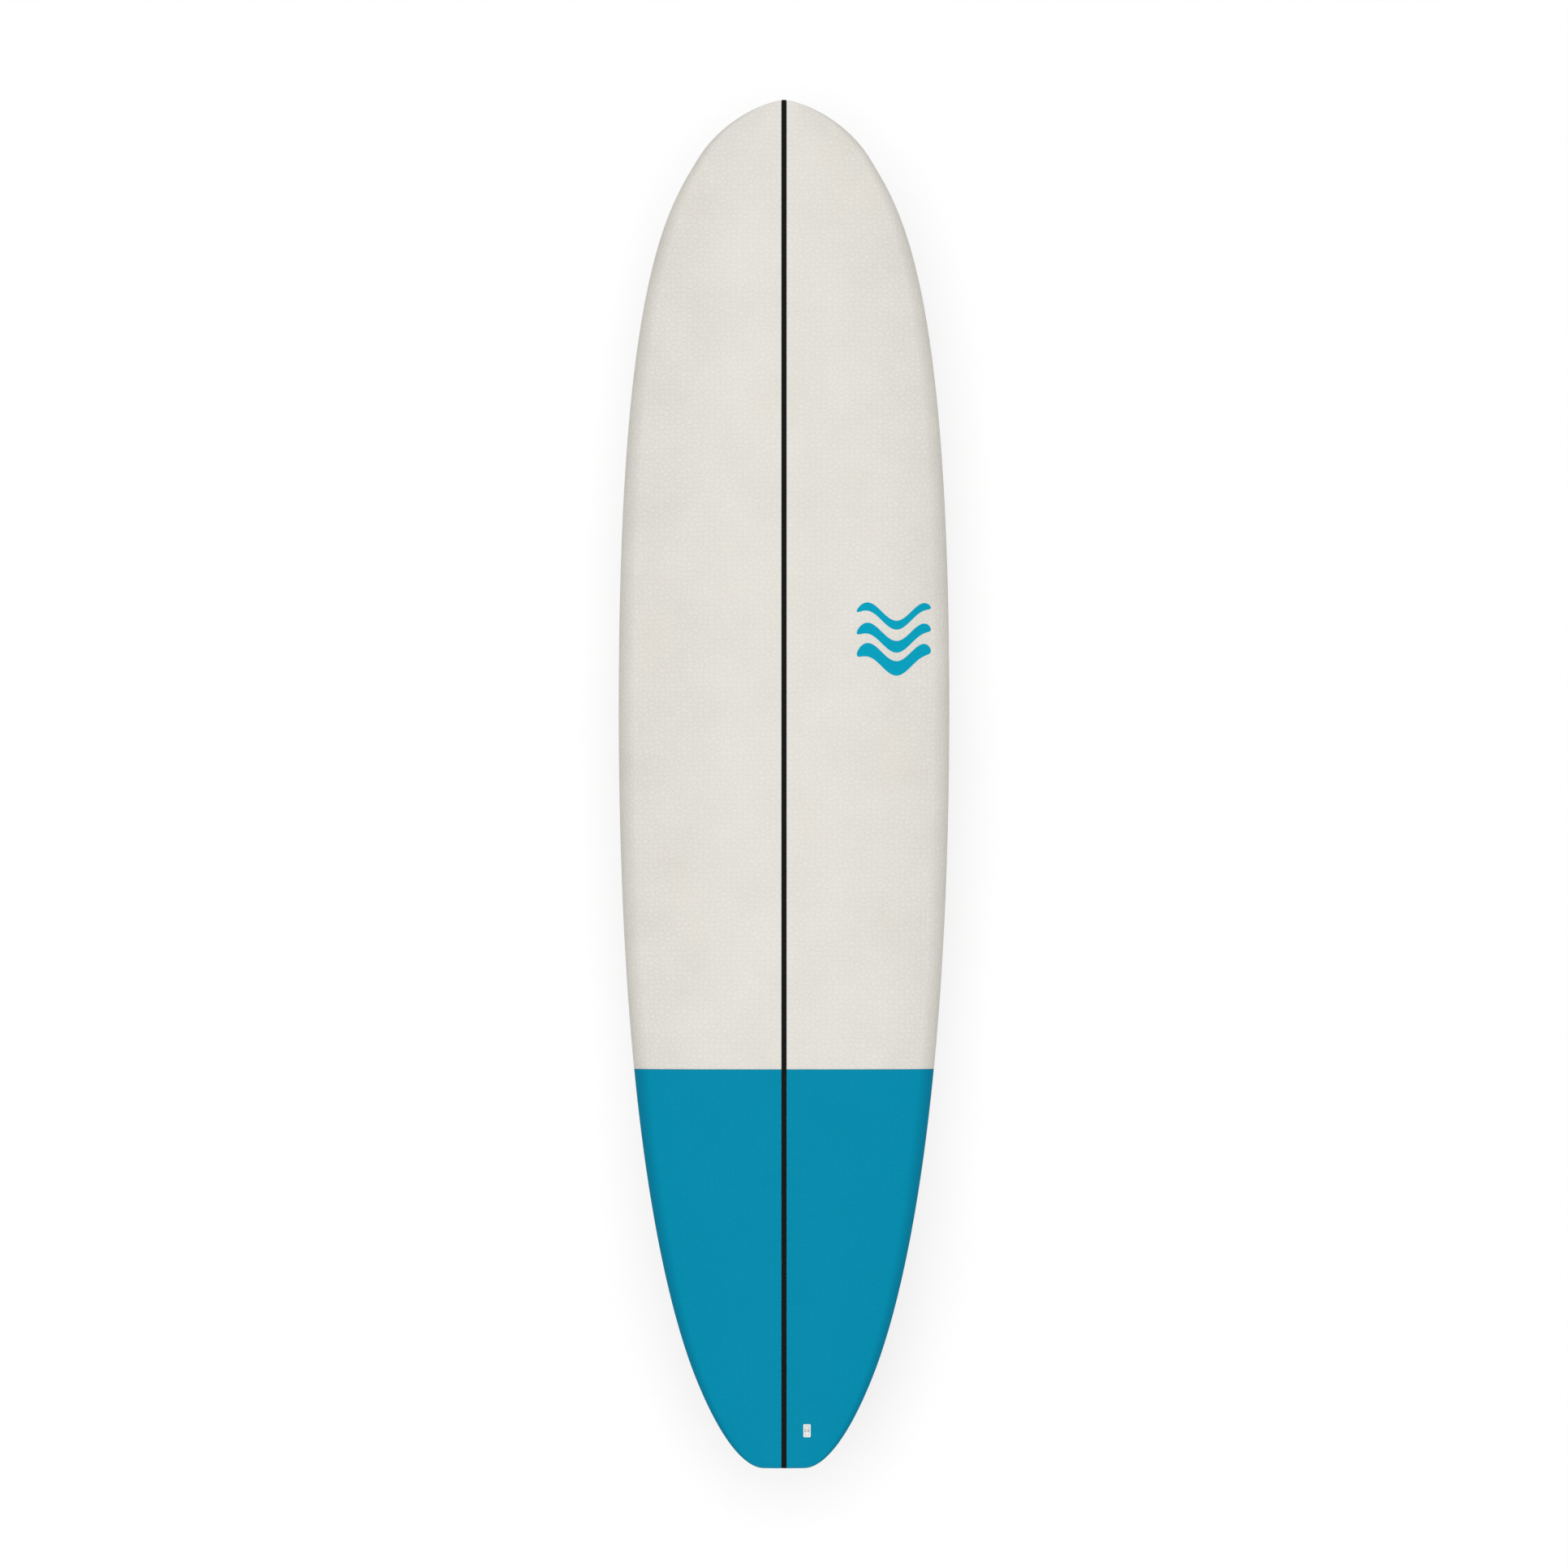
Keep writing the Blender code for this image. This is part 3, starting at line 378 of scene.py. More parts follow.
def dense_foam():
    """Straw-coloured dense foam with fine open cells."""
    paint = Paint("dense_blocks")
    coords = paint.object_coords()
    pores = paint.voronoi(coords, 1100.0).outputs["Distance"]
    normal = paint.bump(pores, 0.0003, 0.6)
    colour = paint.mix(paint.span(pores, 0.1, 0.6), (0.50, 0.40, 0.22), (0.68, 0.57, 0.34))
    return paint.finish(colour, paint.span(pores, 0.0, 0.6, 0.90, 0.74), normal)


def stringer_wood():
    """Pale straight-grained wood, the grain lengthwise."""
    paint = Paint("stringer_wood")
    rings = paint.noise(paint.object_coords((60.0, 0.9, 60.0)), 1.4, 5.0, 0.6, 0.3)
    fibre = paint.noise(paint.object_coords((900.0, 14.0, 900.0)), 1.0, 3.0)
    colour = paint.mix(paint.span(rings, 0.35, 0.65), (0.56, 0.37, 0.19), (0.36, 0.20, 0.09))
    colour = paint.mix(paint.span(fibre, 0.4, 0.7, 0.0, 0.35), colour, (0.25, 0.14, 0.06))
    return paint.finish(colour, paint.span(fibre, 0.3, 0.7, 0.55, 0.72), paint.bump(fibre, 0.0002, 0.5))


def studio_floor():
    """Seamless translucent studio floor, lit from below too, with the faintest mottling."""
    paint = Paint("studio_floor")
    mottle = paint.noise(paint.object_coords(), 3.0, 3.0)
    colour = paint.mix(paint.span(mottle, 0.3, 0.7), (0.47, 0.47, 0.47), (0.46, 0.46, 0.46))
    paint.shader.inputs["Emission Color"].default_value = (1.0, 1.0, 1.0, 1.0)
    paint.shader.inputs["Emission Strength"].default_value = FLOOR_STRENGTH
    return paint.finish(colour, paint.span(mottle, 0.3, 0.7, 0.88, 0.94))


# ---------------------------------------------------------------- hull shape


def bezier(corners, count):
    """count points of a cubic, without its last one, as (half width, distance from the tail)."""
    t = np.linspace(0, 1, count, endpoint=False)[:, None]
    a, b, c, d = (np.array(p) for p in corners)
    return (1 - t) ** 3 * a + 3 * (1 - t) ** 2 * t * b + 3 * (1 - t) * t**2 * c + t**3 * d


def outline():
    """(half widths, y) of the stations from the tail's end to the nose's tip."""
    found = [
        bezier((knot, leaving, arriving, following), count)
        for (_, knot, leaving, count), (arriving, following, _, _) in zip(KNOTS, KNOTS[1:])
    ]
    points = np.vstack(found + [np.array([[0.0, LENGTH]])])
    return points[:, 0], points[:, 1] - HALF


WIDTHS, STATIONS = outline()


def half_width(y):
    return np.interp(y, STATIONS, WIDTHS)


def rocker(y):
    run = np.clip((np.abs(y) - FLAT_ROCKER_HALF) / (HALF - FLAT_ROCKER_HALF), 0, None)
    return np.where(y > 0, NOSE_ROCKER * run**NOSE_ROCKER_POWER, TAIL_ROCKER * run**TAIL_ROCKER_POWER)


def thickness(y):
    nose = np.clip((y - THICKEST_Y) / (HALF - THICKEST_Y), 0, 1)
    tail = np.clip((THICKEST_Y - y) / (HALF + THICKEST_Y), 0, 1)
    front = NOSE_THICKNESS + (THICKNESS - NOSE_THICKNESS) * (1 - nose**NOSE_FOIL)
    rear = TAIL_THICKNESS + (THICKNESS - TAIL_THICKNESS) * (1 - tail**TAIL_FOIL)
    return np.where(y > THICKEST_Y, front, rear)


def kept(y):
    """Share of the thickness left where the ends are rounded over."""
    left = np.clip((HALF - np.abs(y) + END_BLUNT) / (END_ROUND + END_BLUNT), 0, 1)
    return np.sqrt(1 - (1 - left) ** 2)


def heights(y):
    """(rail line height, rise to the deck, drop to the bottom)."""
    thick, share = thickness(y), kept(y)
    return rocker(y) + APEX_SHARE * thick, (1 - APEX_SHARE) * thick * share, APEX_SHARE * thick * share


def seam_height(y):
    return rocker(y) + SEAM_SHARE * thickness(y)


def deck_height(x, y):
    apex, rise, _ = heights(y)
    share = np.clip(np.abs(x) / np.maximum(half_width(y), 1e-4), 0, 1)
    return apex + rise * (1 - share**DECK_POWER) ** (1 / DECK_POWER)


def half_section(half, y, deck=0.0, rail=0.0, bottom=0.0):
    """Dense (x, z) points of the right half section, inset all round, from deck to bottom."""
    apex, rise, drop = (float(v) for v in heights(y))
    half, rise, drop = max(half - rail, 1e-5), max(rise - deck, 0.0), max(drop - bottom, 0.0)
    turn = np.linspace(0, math.pi / 2, SECTION)
    across, up = (part(turn).clip(0) ** (2 / DECK_POWER) for part in (np.sin, np.cos))
    upper = np.stack((half * across, apex + rise * up), 1)
    turn = math.pi / 2 * (1 - (1 - np.linspace(0, 1, SECTION)) ** 2.5)
    across = FLAT_SHARE + (1 - FLAT_SHARE) * np.cos(turn).clip(0) ** (2 / BOTTOM_POWER)
    lower = np.stack((half * across, apex - drop * np.sin(turn)), 1)
    flat = np.array([[0.0, apex - drop]])
    return np.vstack((upper, lower[1:], flat))


def cut_below(points, height):
    """The stretch of a half section from its start down to a height on its under side."""
    widest = int(np.argmax(points[:, 0]))
    under = np.nonzero(points[widest:, 1] < height)[0]
    if not len(under) or under[0] == 0:
        return points
    i = widest + under[0]
    before, after = points[i - 1], points[i]
    share = (before[1] - height) / max(before[1] - after[1], 1e-9)
    return np.vstack((points[:i], before + share * (after - before)))


def under_side(points, height):
    """The under side of a half section, from this height down to the bottom's middle."""
    rest = points[int(np.argmax(points[:, 0])) :]
    return np.vstack((cut_below(points, height)[-1:], rest[rest[:, 1] < height]))


def cut_start(points, x):
    """The stretch of a half section from this distance off the centreline on."""
    i = int(np.argmax(points[:, 0] > x))
    if i == 0:
        return points
    before, after = points[i - 1], points[i]
    share = (x - before[0]) / (after[0] - before[0])
    return np.vstack((before + share * (after - before), points[i:]))


def spaced(points, distances):
    """Points at these distances along a chain of points."""
    run = np.concatenate(([0], np.cumsum(np.linalg.norm(np.diff(points, axis=0), axis=1))))
    return np.stack([np.interp(distances, run, column) for column in points.T], 1), run[-1]


def eased(length, count):
    """Distances along a stretch, with two rows close to each end for its eased edges."""
    edge = min(EDGE, length * 0.2)
    inner = np.linspace(edge, length - edge, count - 4)
    return np.concatenate(([0, 0.3 * edge], inner, [length - 0.3 * edge, length]))


def chain_length(points):
    return float(np.linalg.norm(np.diff(points, axis=0), axis=1).sum())


# ---------------------------------------------------------------- meshes


def new_object(name, mesh, material, body="board", stands_for=()):
    obj = bpy.data.objects.new(name, mesh)
    bpy.context.scene.collection.objects.link(obj)
    mesh.materials.clear()
    mesh.materials.append(material)
    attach(obj, body)
    if stands_for:
        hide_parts(*stands_for)
    return obj


def ring_body(name, rings, strips=True):
    """A closed body through equally long rings. With strips, quads across its end rings close it."""
    rings = np.array(rings)
    rows, count = rings.shape[:2]
    vertices = rings.reshape(-1, 3)
    faces = []
    for i in range(rows - 1):
        for j in range(count):
            k = (j + 1) % count
            faces.append((i * count + j, i * count + k, (i + 1) * count + k, (i + 1) * count + j))
    for start in (0, (rows - 1) * count):
        if strips:
            for j in range(count // 2 - 1):
                faces.append((start + j, start + j + 1, start + count - 2 - j, start + count - 1 - j))
        else:
            faces.append(tuple(range(start, start + count)))
    mesh = bpy.data.meshes.new(name)
    mesh.from_pydata(vertices.tolist(), [], faces)
    return mesh


def tidy_mesh(mesh):
    """Merges doubled points, turns the normals outward and shades it smooth between sharp edges."""
    bm = bmesh.new()
    bm.from_mesh(mesh)
    bmesh.ops.remove_doubles(bm, verts=bm.verts, dist=1e-6)
    bmesh.ops.dissolve_degenerate(bm, edges=bm.edges, dist=1e-7)
    bmesh.ops.recalc_face_normals(bm, faces=bm.faces)
    bm.to_mesh(mesh)
    bm.free()
    mesh.shade_smooth()
    mesh.set_sharp_from_angle(angle=SHARP)
    return mesh


def deck_layout(mesh):
    """Adds the deck's own coordinates as a UV map in metres, and how near each point is to the rail."""
    count = len(mesh.vertices)
    co = np.zeros(count * 3, np.float32)
    mesh.vertices.foreach_get("co", co)
    co = co.reshape(-1, 3).astype(float)
    line = np.linspace(-HALF, HALF, 1500)
    top = deck_height(0.0, line)
    run = np.concatenate(([0], np.cumsum(np.hypot(np.diff(line), np.diff(top)))))
    along = np.interp(co[:, 1], line, run)
    apex, _, _ = heights(co[:, 1])
    half = np.maximum(half_width(co[:, 1]), 1e-3)
    share = np.clip(np.abs(co[:, 0]) / half, 0, 1)
    down = np.maximum(deck_height(co[:, 0] * 0.9, co[:, 1]) - co[:, 2], 0)
    across = np.sign(co[:, 0]) * (np.abs(co[:, 0]) + down * share**6)
    near = mesh.attributes.new("rail", "FLOAT", "POINT")
    near.data.foreach_set("value", share.astype(np.float32))
    loops = np.zeros(len(mesh.loops), np.int32)
    mesh.loops.foreach_get("vertex_index", loops)
    layer = mesh.uv_layers.new(name="deck")
    pairs = np.stack((across, along), 1)[loops].astype(np.float32)
    layer.data.foreach_set("uv", pairs.ravel())


def station_rows(low, high):
    """Station y from low to high, with close rows at any end that isn't the nose's or tail's."""
    start = [low, low + 0.3 * EDGE, low + EDGE] if low > -HALF else [STATIONS[1]]
    stop = [high - EDGE, high - 0.3 * EDGE, high] if high < HALF else []
    inside = STATIONS > start[-1] + (0.002 if low > -HALF else 0)
    if stop:
        inside &= STATIONS < stop[0] - 0.002
    else:
        inside &= WIDTHS > STRIPE_HALF + GAP + 0.0012
    return np.concatenate((start, STATIONS[inside], stop))


def panel_ring(y, low, high):
    """One ring of a right deck panel: its outer face from stripe to seam, the ledge, and back inside."""
    start, half = STRIPE_HALF + GAP, float(half_width(y))
    seam = float(seam_height(y)) + GAP / 2
    outer = cut_below(cut_start(half_section(half, y), start), seam)
    distances = eased(chain_length(outer), OUTER)
    points, length = spaced(outer, distances)
    slope = np.gradient(points, axis=0)
    inward = np.stack((slope[:, 1], -slope[:, 0]), 1)
    inward /= np.maximum(np.linalg.norm(inward, axis=1), 1e-9)[:, None]
    near = np.minimum(distances, length - distances)
    if low > -HALF:
        near = np.minimum(near, y - low)
    if high < HALF:
        near = np.minimum(near, high - y)
    near = np.clip(near, 0, EDGE)
    points = points + inward * (EDGE - np.sqrt(EDGE**2 - (EDGE - near) ** 2))[:, None]
    hollow = abs(y) < HALF - END_SKIN
    if hollow:
        shorter = y / (1 - END_SKIN / HALF)
        inner = half_section(float(half_width(shorter)), y, DECK_SKIN, RAIL_SKIN, BOTTOM_SKIN)
        inner = cut_below(cut_start(inner, start), seam)
        back, _ = spaced(inner, eased(chain_length(inner), OUTER))
    else:
        rise = np.linspace(points[0, 1] - 0.0001, min(seam, points[-1, 1]), OUTER)
        back = np.stack((np.full(OUTER, start), rise), 1)
    last, first = points[-1], back[-1]
    steps = np.linspace(0, 1, LEDGE + 2)[1:-1, None]
    ledge = last + (first - last) * steps
    ring = np.vstack((points, ledge, back[::-1]))
    return [(x, y, z) for x, z in ring]


def mirrored(mesh, name):
    made = mesh.copy()
    made.name = name
    made.transform(Matrix.Scale(-1, 4, (1, 0, 0)))
    made.flip_normals()
    return made


def deck_panels(finishes):
    """The four foam panels of the deck, wrapped over the rails down to the seam."""
    spans = {"front": (COLOUR_SPLIT_Y + GAP / 2, HALF), "tail": (-HALF, COLOUR_SPLIT_Y - GAP / 2)}
    made = {}
    for end, (low, high) in spans.items():
        rings = [panel_ring(float(y), low, high) for y in station_rows(low, high)]
        right = tidy_mesh(ring_body(f"deck_{end}_right", rings))
        left = mirrored(right, f"deck_{end}_left")
        for side, mesh in (("right", right), ("left", left)):
            node = f"deck_skin_{end}_{side}"
            made[end, side] = (mesh, node, finishes[end])
    for (end, side), (mesh, node, (material, slot)) in made.items():
        if (end, side) == ("tail", "right"):
            cut(mesh, opening(LEASH_FLANGE, LEASH_CORNER, LEASH_AXES, into=-1))
        deck_layout(mesh)
        obj = new_object(f"deck_{end}_{side}", mesh, material, stands_for=[node])


def stripe_ring(y):
    """One ring of the centre stripe: across its top, then back below."""
    half = float(half_width(y))
    apex, _, drop = (float(v) for v in heights(y))
    reach = min(STRIPE_HALF, half)
    edge = min(EDGE, reach * 0.3)
    middle = np.linspace(-reach + edge, reach - edge, STRIPE_ACROSS)
    x = np.concatenate(([-reach, -reach + 0.3 * edge], middle, [reach - 0.3 * edge, reach]))
    near = np.clip(reach - np.abs(x), 0, edge)
    top = deck_height(x, y) - (edge - np.sqrt(edge**2 - (edge - near) ** 2))
    low = max(float(seam_height(y)) + GAP / 2, apex - drop)
    if abs(y) < HALF - END_SKIN:
        low = float(deck_height(0.0, y)) - DECK_SKIN
    under = [(float(v), y, low) for v in x[::-1]]
    return [(float(v), y, float(z)) for v, z in zip(x, top)] + under


def centre_stripe(finish):
    material, slot = finish
    rows = STATIONS[1:-1]
    mesh = tidy_mesh(ring_body("centre_stripe", [stripe_ring(float(y)) for y in rows]))
    deck_layout(mesh)
    obj = new_object("centre_stripe", mesh, material, stands_for=["deck_stripe"])


def bottom_ring(y):
    """One ring of the bottom skin: from the right seam under the hull to the left, then back inside."""
    seam = float(seam_height(y)) - GAP / 2
    full = half_section(float(half_width(y)), y)
    lower = under_side(full, seam)
    points, _ = spaced(lower, np.linspace(0, chain_length(lower), UNDER))
    if abs(y) < HALF - END_SKIN:
        shorter = y / (1 - END_SKIN / HALF)
        inner = half_section(float(half_width(shorter)), y, DECK_SKIN, RAIL_SKIN, BOTTOM_SKIN)
        inner = under_side(inner, seam)
        back, _ = spaced(inner, np.linspace(0, chain_length(inner), UNDER))
    else:
        back = np.stack((np.linspace(points[0, 0] - 0.0001, 0, UNDER), np.full(UNDER, seam)), 1)
    whole = np.vstack((points, points[-2::-1] * (-1, 1)))
    inside = np.vstack((back, back[-2::-1] * (-1, 1)))
    return [(x, y, z) for x, z in np.vstack((whole, inside[::-1]))]


def bottom_panel(material):
    """The slick bottom, with openings for the three fin boxes."""
    rows = [float(y) for y, width in zip(STATIONS[1:], WIDTHS[1:]) if width > STRIPE_HALF]
    mesh = tidy_mesh(ring_body("hull_bottom", [bottom_ring(y) for y in rows]))
    cut(mesh, opening(CENTRE_FLANGE, CENTRE_CORNER, CENTRE_AXES))
    for side in (-1, 1):
        cut(mesh, opening(SIDE_FLANGE, SIDE_CORNER, side_axes(side)))
    new_object("hull_bottom", mesh, material, stands_for=["bottom_skin"])


# ---------------------------------------------------------------- small shapes


def opening(flange, radius, matrix, into=1):
    """The space of a flange with a gap round it, through the skin."""
    size = (flange[0] + 2 * GAP, flange[1] + 2 * GAP, THROUGH_SKIN)
    return slab("space", size, radius, matrix, into=into, outside=ABOVE_SKIN)


def rounded_outline(width, length, radius, steps=8):
    """Points round a rectangle with rounded corners."""
    points = []
    for i, (sx, sy) in enumerate(((1, 1), (-1, 1), (-1, -1), (1, -1))):
        for k in range(steps + 1):
            angle = math.pi / 2 * (i + k / steps)
            x = sx * (width / 2 - radius) + radius * math.cos(angle)
            y = sy * (length / 2 - radius) + radius * math.sin(angle)
            points.append((x, y))
    return points


def tray(name, rings, matrix):
    """A closed body through rounded rectangles, each (width, length, corner radius, height)."""
    return tidy_mesh(
        ring_body(
            name,
            [[matrix @ Vector((x, y, z)) for x, y in rounded_outline(w, l, r)] for w, l, r, z in rings],
            strips=False,
        )
    )


def slab(name, size, radius, matrix, into=1, outside=0.0, centre=(0, 0), low=0.0, eased_by=0.0):
    """A slab with rounded upright edges, from z = low - outside to low + its depth, along Z as into says."""
    width, length, depth = size
    start, stop = low - outside, low + depth
    radius = max(radius, 1e-4)
    steps = [(0.0, start), (0.0, stop)]
    if eased_by:
        steps = [(eased_by, start), (0.3 * eased_by, start + 0.3 * eased_by), (0.0, start + eased_by)]
        steps += [(0.0, stop - eased_by), (0.3 * eased_by, stop - 0.3 * eased_by), (eased_by, stop)]
    rings = [(width - 2 * e, length - 2 * e, max(radius - e, 1e-4), into * z) for e, z in steps]
    return tray(name, rings, matrix @ Matrix.Translation((*centre, 0)))


def lathe(name, profile, matrix, steps=48):
    """A surface turned about its Z axis from (radius, height) points."""
    bm = bmesh.new()
    rows = []
    for radius, height in profile:
        if radius == 0:
            rows.append([bm.verts.new(matrix @ Vector((0, 0, height)))])
            continue
        angles = [2 * math.pi * i / steps for i in range(steps)]
        ring = [Vector((radius * math.cos(angle), radius * math.sin(angle), height)) for angle in angles]
        rows.append([bm.verts.new(matrix @ point) for point in ring])
    for a, b in zip(rows, rows[1:]):
        for i in range(steps):
            j = (i + 1) % steps
            corners = [a[i % len(a)], a[j % len(a)], b[j % len(b)], b[i % len(b)]]
            unique = list(dict.fromkeys(corners))
            if len(unique) > 2:
                bm.faces.new(unique)
    bmesh.ops.recalc_face_normals(bm, faces=bm.faces)
    mesh = bpy.data.meshes.new(name)
    bm.to_mesh(mesh)
    bm.free()
    return mesh


def rod(name, radius, length, matrix, steps=48, round_edge=0.0002):
    """A round bar along the matrix's Z, its two edges eased."""
    half = length / 2
    profile = [(0, half), (radius - round_edge, half), (radius, half - round_edge)]
    return lathe(name, profile + [(r, -z) for r, z in reversed(profile)], matrix, steps)


def combine(mesh, other, operation):
    """Applies a Boolean of mesh with other to mesh itself."""
    first = bpy.data.objects.new("first", mesh)
    second = bpy.data.objects.new("second", other)
    for obj in (first, second):
        bpy.context.scene.collection.objects.link(obj)
    modifier = first.modifiers.new("boolean", "BOOLEAN")
    modifier.operation, modifier.object, modifier.solver = operation, second, "EXACT"
    graph = bpy.context.evaluated_depsgraph_get()
    made = bpy.data.meshes.new_from_object(first.evaluated_get(graph))
    bm = bmesh.new()
    bm.from_mesh(made)
    bm.to_mesh(mesh)
    bm.free()
    bpy.data.objects.remove(first)
    bpy.data.objects.remove(second)
    bpy.data.meshes.remove(made)
    mesh.shade_smooth()
    mesh.set_sharp_from_angle(angle=SHARP)
    return mesh


def cut(mesh, other):
    return combine(mesh, other, "DIFFERENCE")


def join(mesh, other):
    return combine(mesh, other, "UNION")


def moved(matrix, place, turn=None):
    return matrix @ Matrix.Translation(place) @ (turn or Matrix())


# ---------------------------------------------------------------- fins


def foil_section(front, rear, thick, height, flat_side):
    """Points round a foil. flat_side is 0 for two curved faces, or the flat face's sign."""
    share = (1 - np.cos(np.linspace(0, math.pi, FOIL_POINTS))) / 2
    swell = sum(factor * share**power for factor, power in FOIL_TERMS)
    edge = FRONT_EDGE * (1 - share) + REAR_EDGE * share
    y = front - (front - rear) * share
    curved = (1.0 if flat_side else 0.5) * thick * swell + edge
    flat = -edge if flat_side else -curved
    if flat_side:
        curved, flat = ((v - thick / 2) * -flat_side for v in (curved, flat))
    upper = [(x, v, height) for x, v in zip(curved, y)]
    lower = [(x, v, height) for x, v in zip(flat, y)]
    return upper + lower[::-1]


def blade(name, chord, depth, rake, thick, matrix, flat_side=0):
    """A raked fin from inside its slot down to its rounded tip."""
    rings = []
    for turn in np.linspace(0, math.pi / 2, BLADE_RINGS):
        share = math.sin(turn)
        curl = 1 - math.sqrt(max(0.0, 1 - share**2))
        front = chord / 2 - rake * ((1 - BLADE_CURL) * share**BLADE_SWEEP + BLADE_CURL * curl)
        hollow = BLADE_HOLLOW * share * (1 - share) - BLADE_TRAIL * share**2
        rear = min(chord * (hollow - 0.5), front - TIP_CHORD)
        local = BLADE_THICK * (TIP_THICK + (thick - TIP_THICK) * (front - rear) / chord)
        ring = foil_section(front, rear, local, BLADE_ROOT - (depth + BLADE_ROOT) * share, flat_side)
        rings.append([matrix @ Vector(point) for point in ring])
    return tidy_mesh(ring_body(name, rings))


def centre_fin(material):
    shape = blade("centre_fin_blade", matrix=CENTRE_AXES, **CENTRE_FIN)
    thick, chord = CENTRE_FIN["thick"], CENTRE_FIN["chord"]
    eased = {"low": TAB_START, "eased_by": MOULD_EDGE}
    join(shape, slab("tab", (thick, chord, CENTRE_TAB - TAB_START), TAB_CORNER, CENTRE_AXES, **eased))
    eased = {"low": TONGUE[0], "eased_by": MOULD_EDGE}
    middle = (0, (chord + TONGUE_LENGTH - TONGUE_OVERLAP) / 2)
    tongue = (thick, TONGUE_LENGTH + TONGUE_OVERLAP, TONGUE[1] - TONGUE[0])
    join(shape, slab("tongue", tongue, TONGUE_CORNER, CENTRE_AXES, centre=middle, **eased))
    cut(shape, rod("hole", SCREW_RADIUS + GAP, BORE, moved(CENTRE_AXES, (0, SCREW_Y, TONGUE[1]))))
    cut(shape, rod("hole", PIN_RADIUS + GAP, BORE, moved(CENTRE_AXES, (0, PIN_Y, PIN_HEIGHT), ACROSS)))
    new_object("centre_fin_blade", shape, material, "centre_fin", ["centre_fin"])


def side_fin(side, material):
    label = "left" if side < 0 else "right"
    name, body = f"side_fin_blade_{label}", f"side_fin_{label}"
    matrix = moved(side_axes(side), (0, SIDE_TAB_Y, 0))
    shape = blade(name, matrix=matrix, flat_side=-side, **SIDE_FIN)
    tab = (SIDE_FIN["thick"], SIDE_FIN["chord"], SIDE_TAB - TAB_START)
    join(shape, slab("tab", tab, SIDE_TAB_CORNER, matrix, low=TAB_START, eased_by=MOULD_EDGE))
    new_object(name, shape, material, body, [body])


# ---------------------------------------------------------------- boxes and fittings


def centre_box(material):
    shape = slab("centre_box", CENTRE_BOX, CENTRE_CORNER, CENTRE_AXES)
    join(shape, slab("flange", CENTRE_FLANGE, CENTRE_CORNER, CENTRE_AXES, eased_by=MOULD_EDGE))
    cut(shape, slab("slot", CENTRE_SLOT, SLOT_CORNER, CENTRE_AXES, outside=ABOVE_BOX))
    channel = (CHANNEL_WIDTH, CENTRE_SLOT[1], CHANNEL[1] - CHANNEL[0])
    cut(shape, slab("channel", channel, SLOT_CORNER, CENTRE_AXES, low=CHANNEL[0]))
    entry = (CHANNEL_WIDTH, ENTRY_LENGTH, CHANNEL[1])
    place = (0, (CENTRE_SLOT[1] - ENTRY_LENGTH) / 2)
    cut(shape, slab("entry", entry, ENTRY_CORNER, CENTRE_AXES, outside=ABOVE_BOX, centre=place))
    new_object("centre_fin_track", shape, material, stands_for=["centre_fin_box"])


def side_box(side, material):
    label = "left" if side < 0 else "right"
    matrix = side_axes(side)
    shape = slab("side_box", SIDE_BOX, SIDE_CORNER, matrix)
    join(shape, slab("flange", SIDE_FLANGE, SIDE_CORNER, matrix, eased_by=MOULD_EDGE))
    place = (0, SIDE_SLOT_Y)
    cut(shape, slab("slot", SIDE_SLOT, SLOT_CORNER, matrix, outside=ABOVE_BOX, centre=place))
    cut(shape, rod("hole", GRUB_RADIUS + GAP, GRUB_BORE, moved(matrix, (0, GRUB_Y, 0))))
    node = f"side_fin_box_{label}"
    new_object(f"side_fin_track_{label}", shape, material, stands_for=[node])


def centre_screw(material):
    """Pan head screw with a cross recess and a threaded shank."""
    matrix = moved(CENTRE_AXES, (0, SCREW_Y, TONGUE[0] - GAP), HALF_TURN)
    top, rim = SCREW_HEAD, SCREW_HEAD_RADIUS
    profile = [(0, top), (rim - 0.0016, top - 0.00005), (rim - 0.0008, top - 0.0003)]
    profile += [(rim - 0.0002, top - 0.0009), (rim, top - 0.0015), (rim, 0.0002), (rim - 0.0002, 0.0)]
    profile += thread(SCREW_RADIUS, -0.0002, -SCREW_SHANK + 0.0006)
    profile += [(SCREW_RADIUS - 0.0007, -SCREW_SHANK), (0, -SCREW_SHANK)]
    shape = lathe("fin_screw", profile, matrix)
    head = moved(matrix, (0, 0, top))
    for size in ((CROSS_LONG, CROSS_WIDE, CROSS_DEEP), (CROSS_WIDE, CROSS_LONG, CROSS_DEEP)):
        cut(shape, slab("cross", size, 0.0003, head, into=-1, outside=ABOVE_HEAD))
    new_object("centre_fin_fixing", shape, material, "centre_fin_screw", ["centre_fin_screw"])


def thread(radius, start, stop, pitch=0.0007):
    """The saw-tooth profile of a threaded length, from start down to stop."""
    points = [(radius, start)]
    count = int((start - stop) / pitch)
    for i in range(count):
        z = start - pitch * (i + 0.5)
        points += [(radius - 0.0003, z), (radius, z - pitch / 2)]
    return points


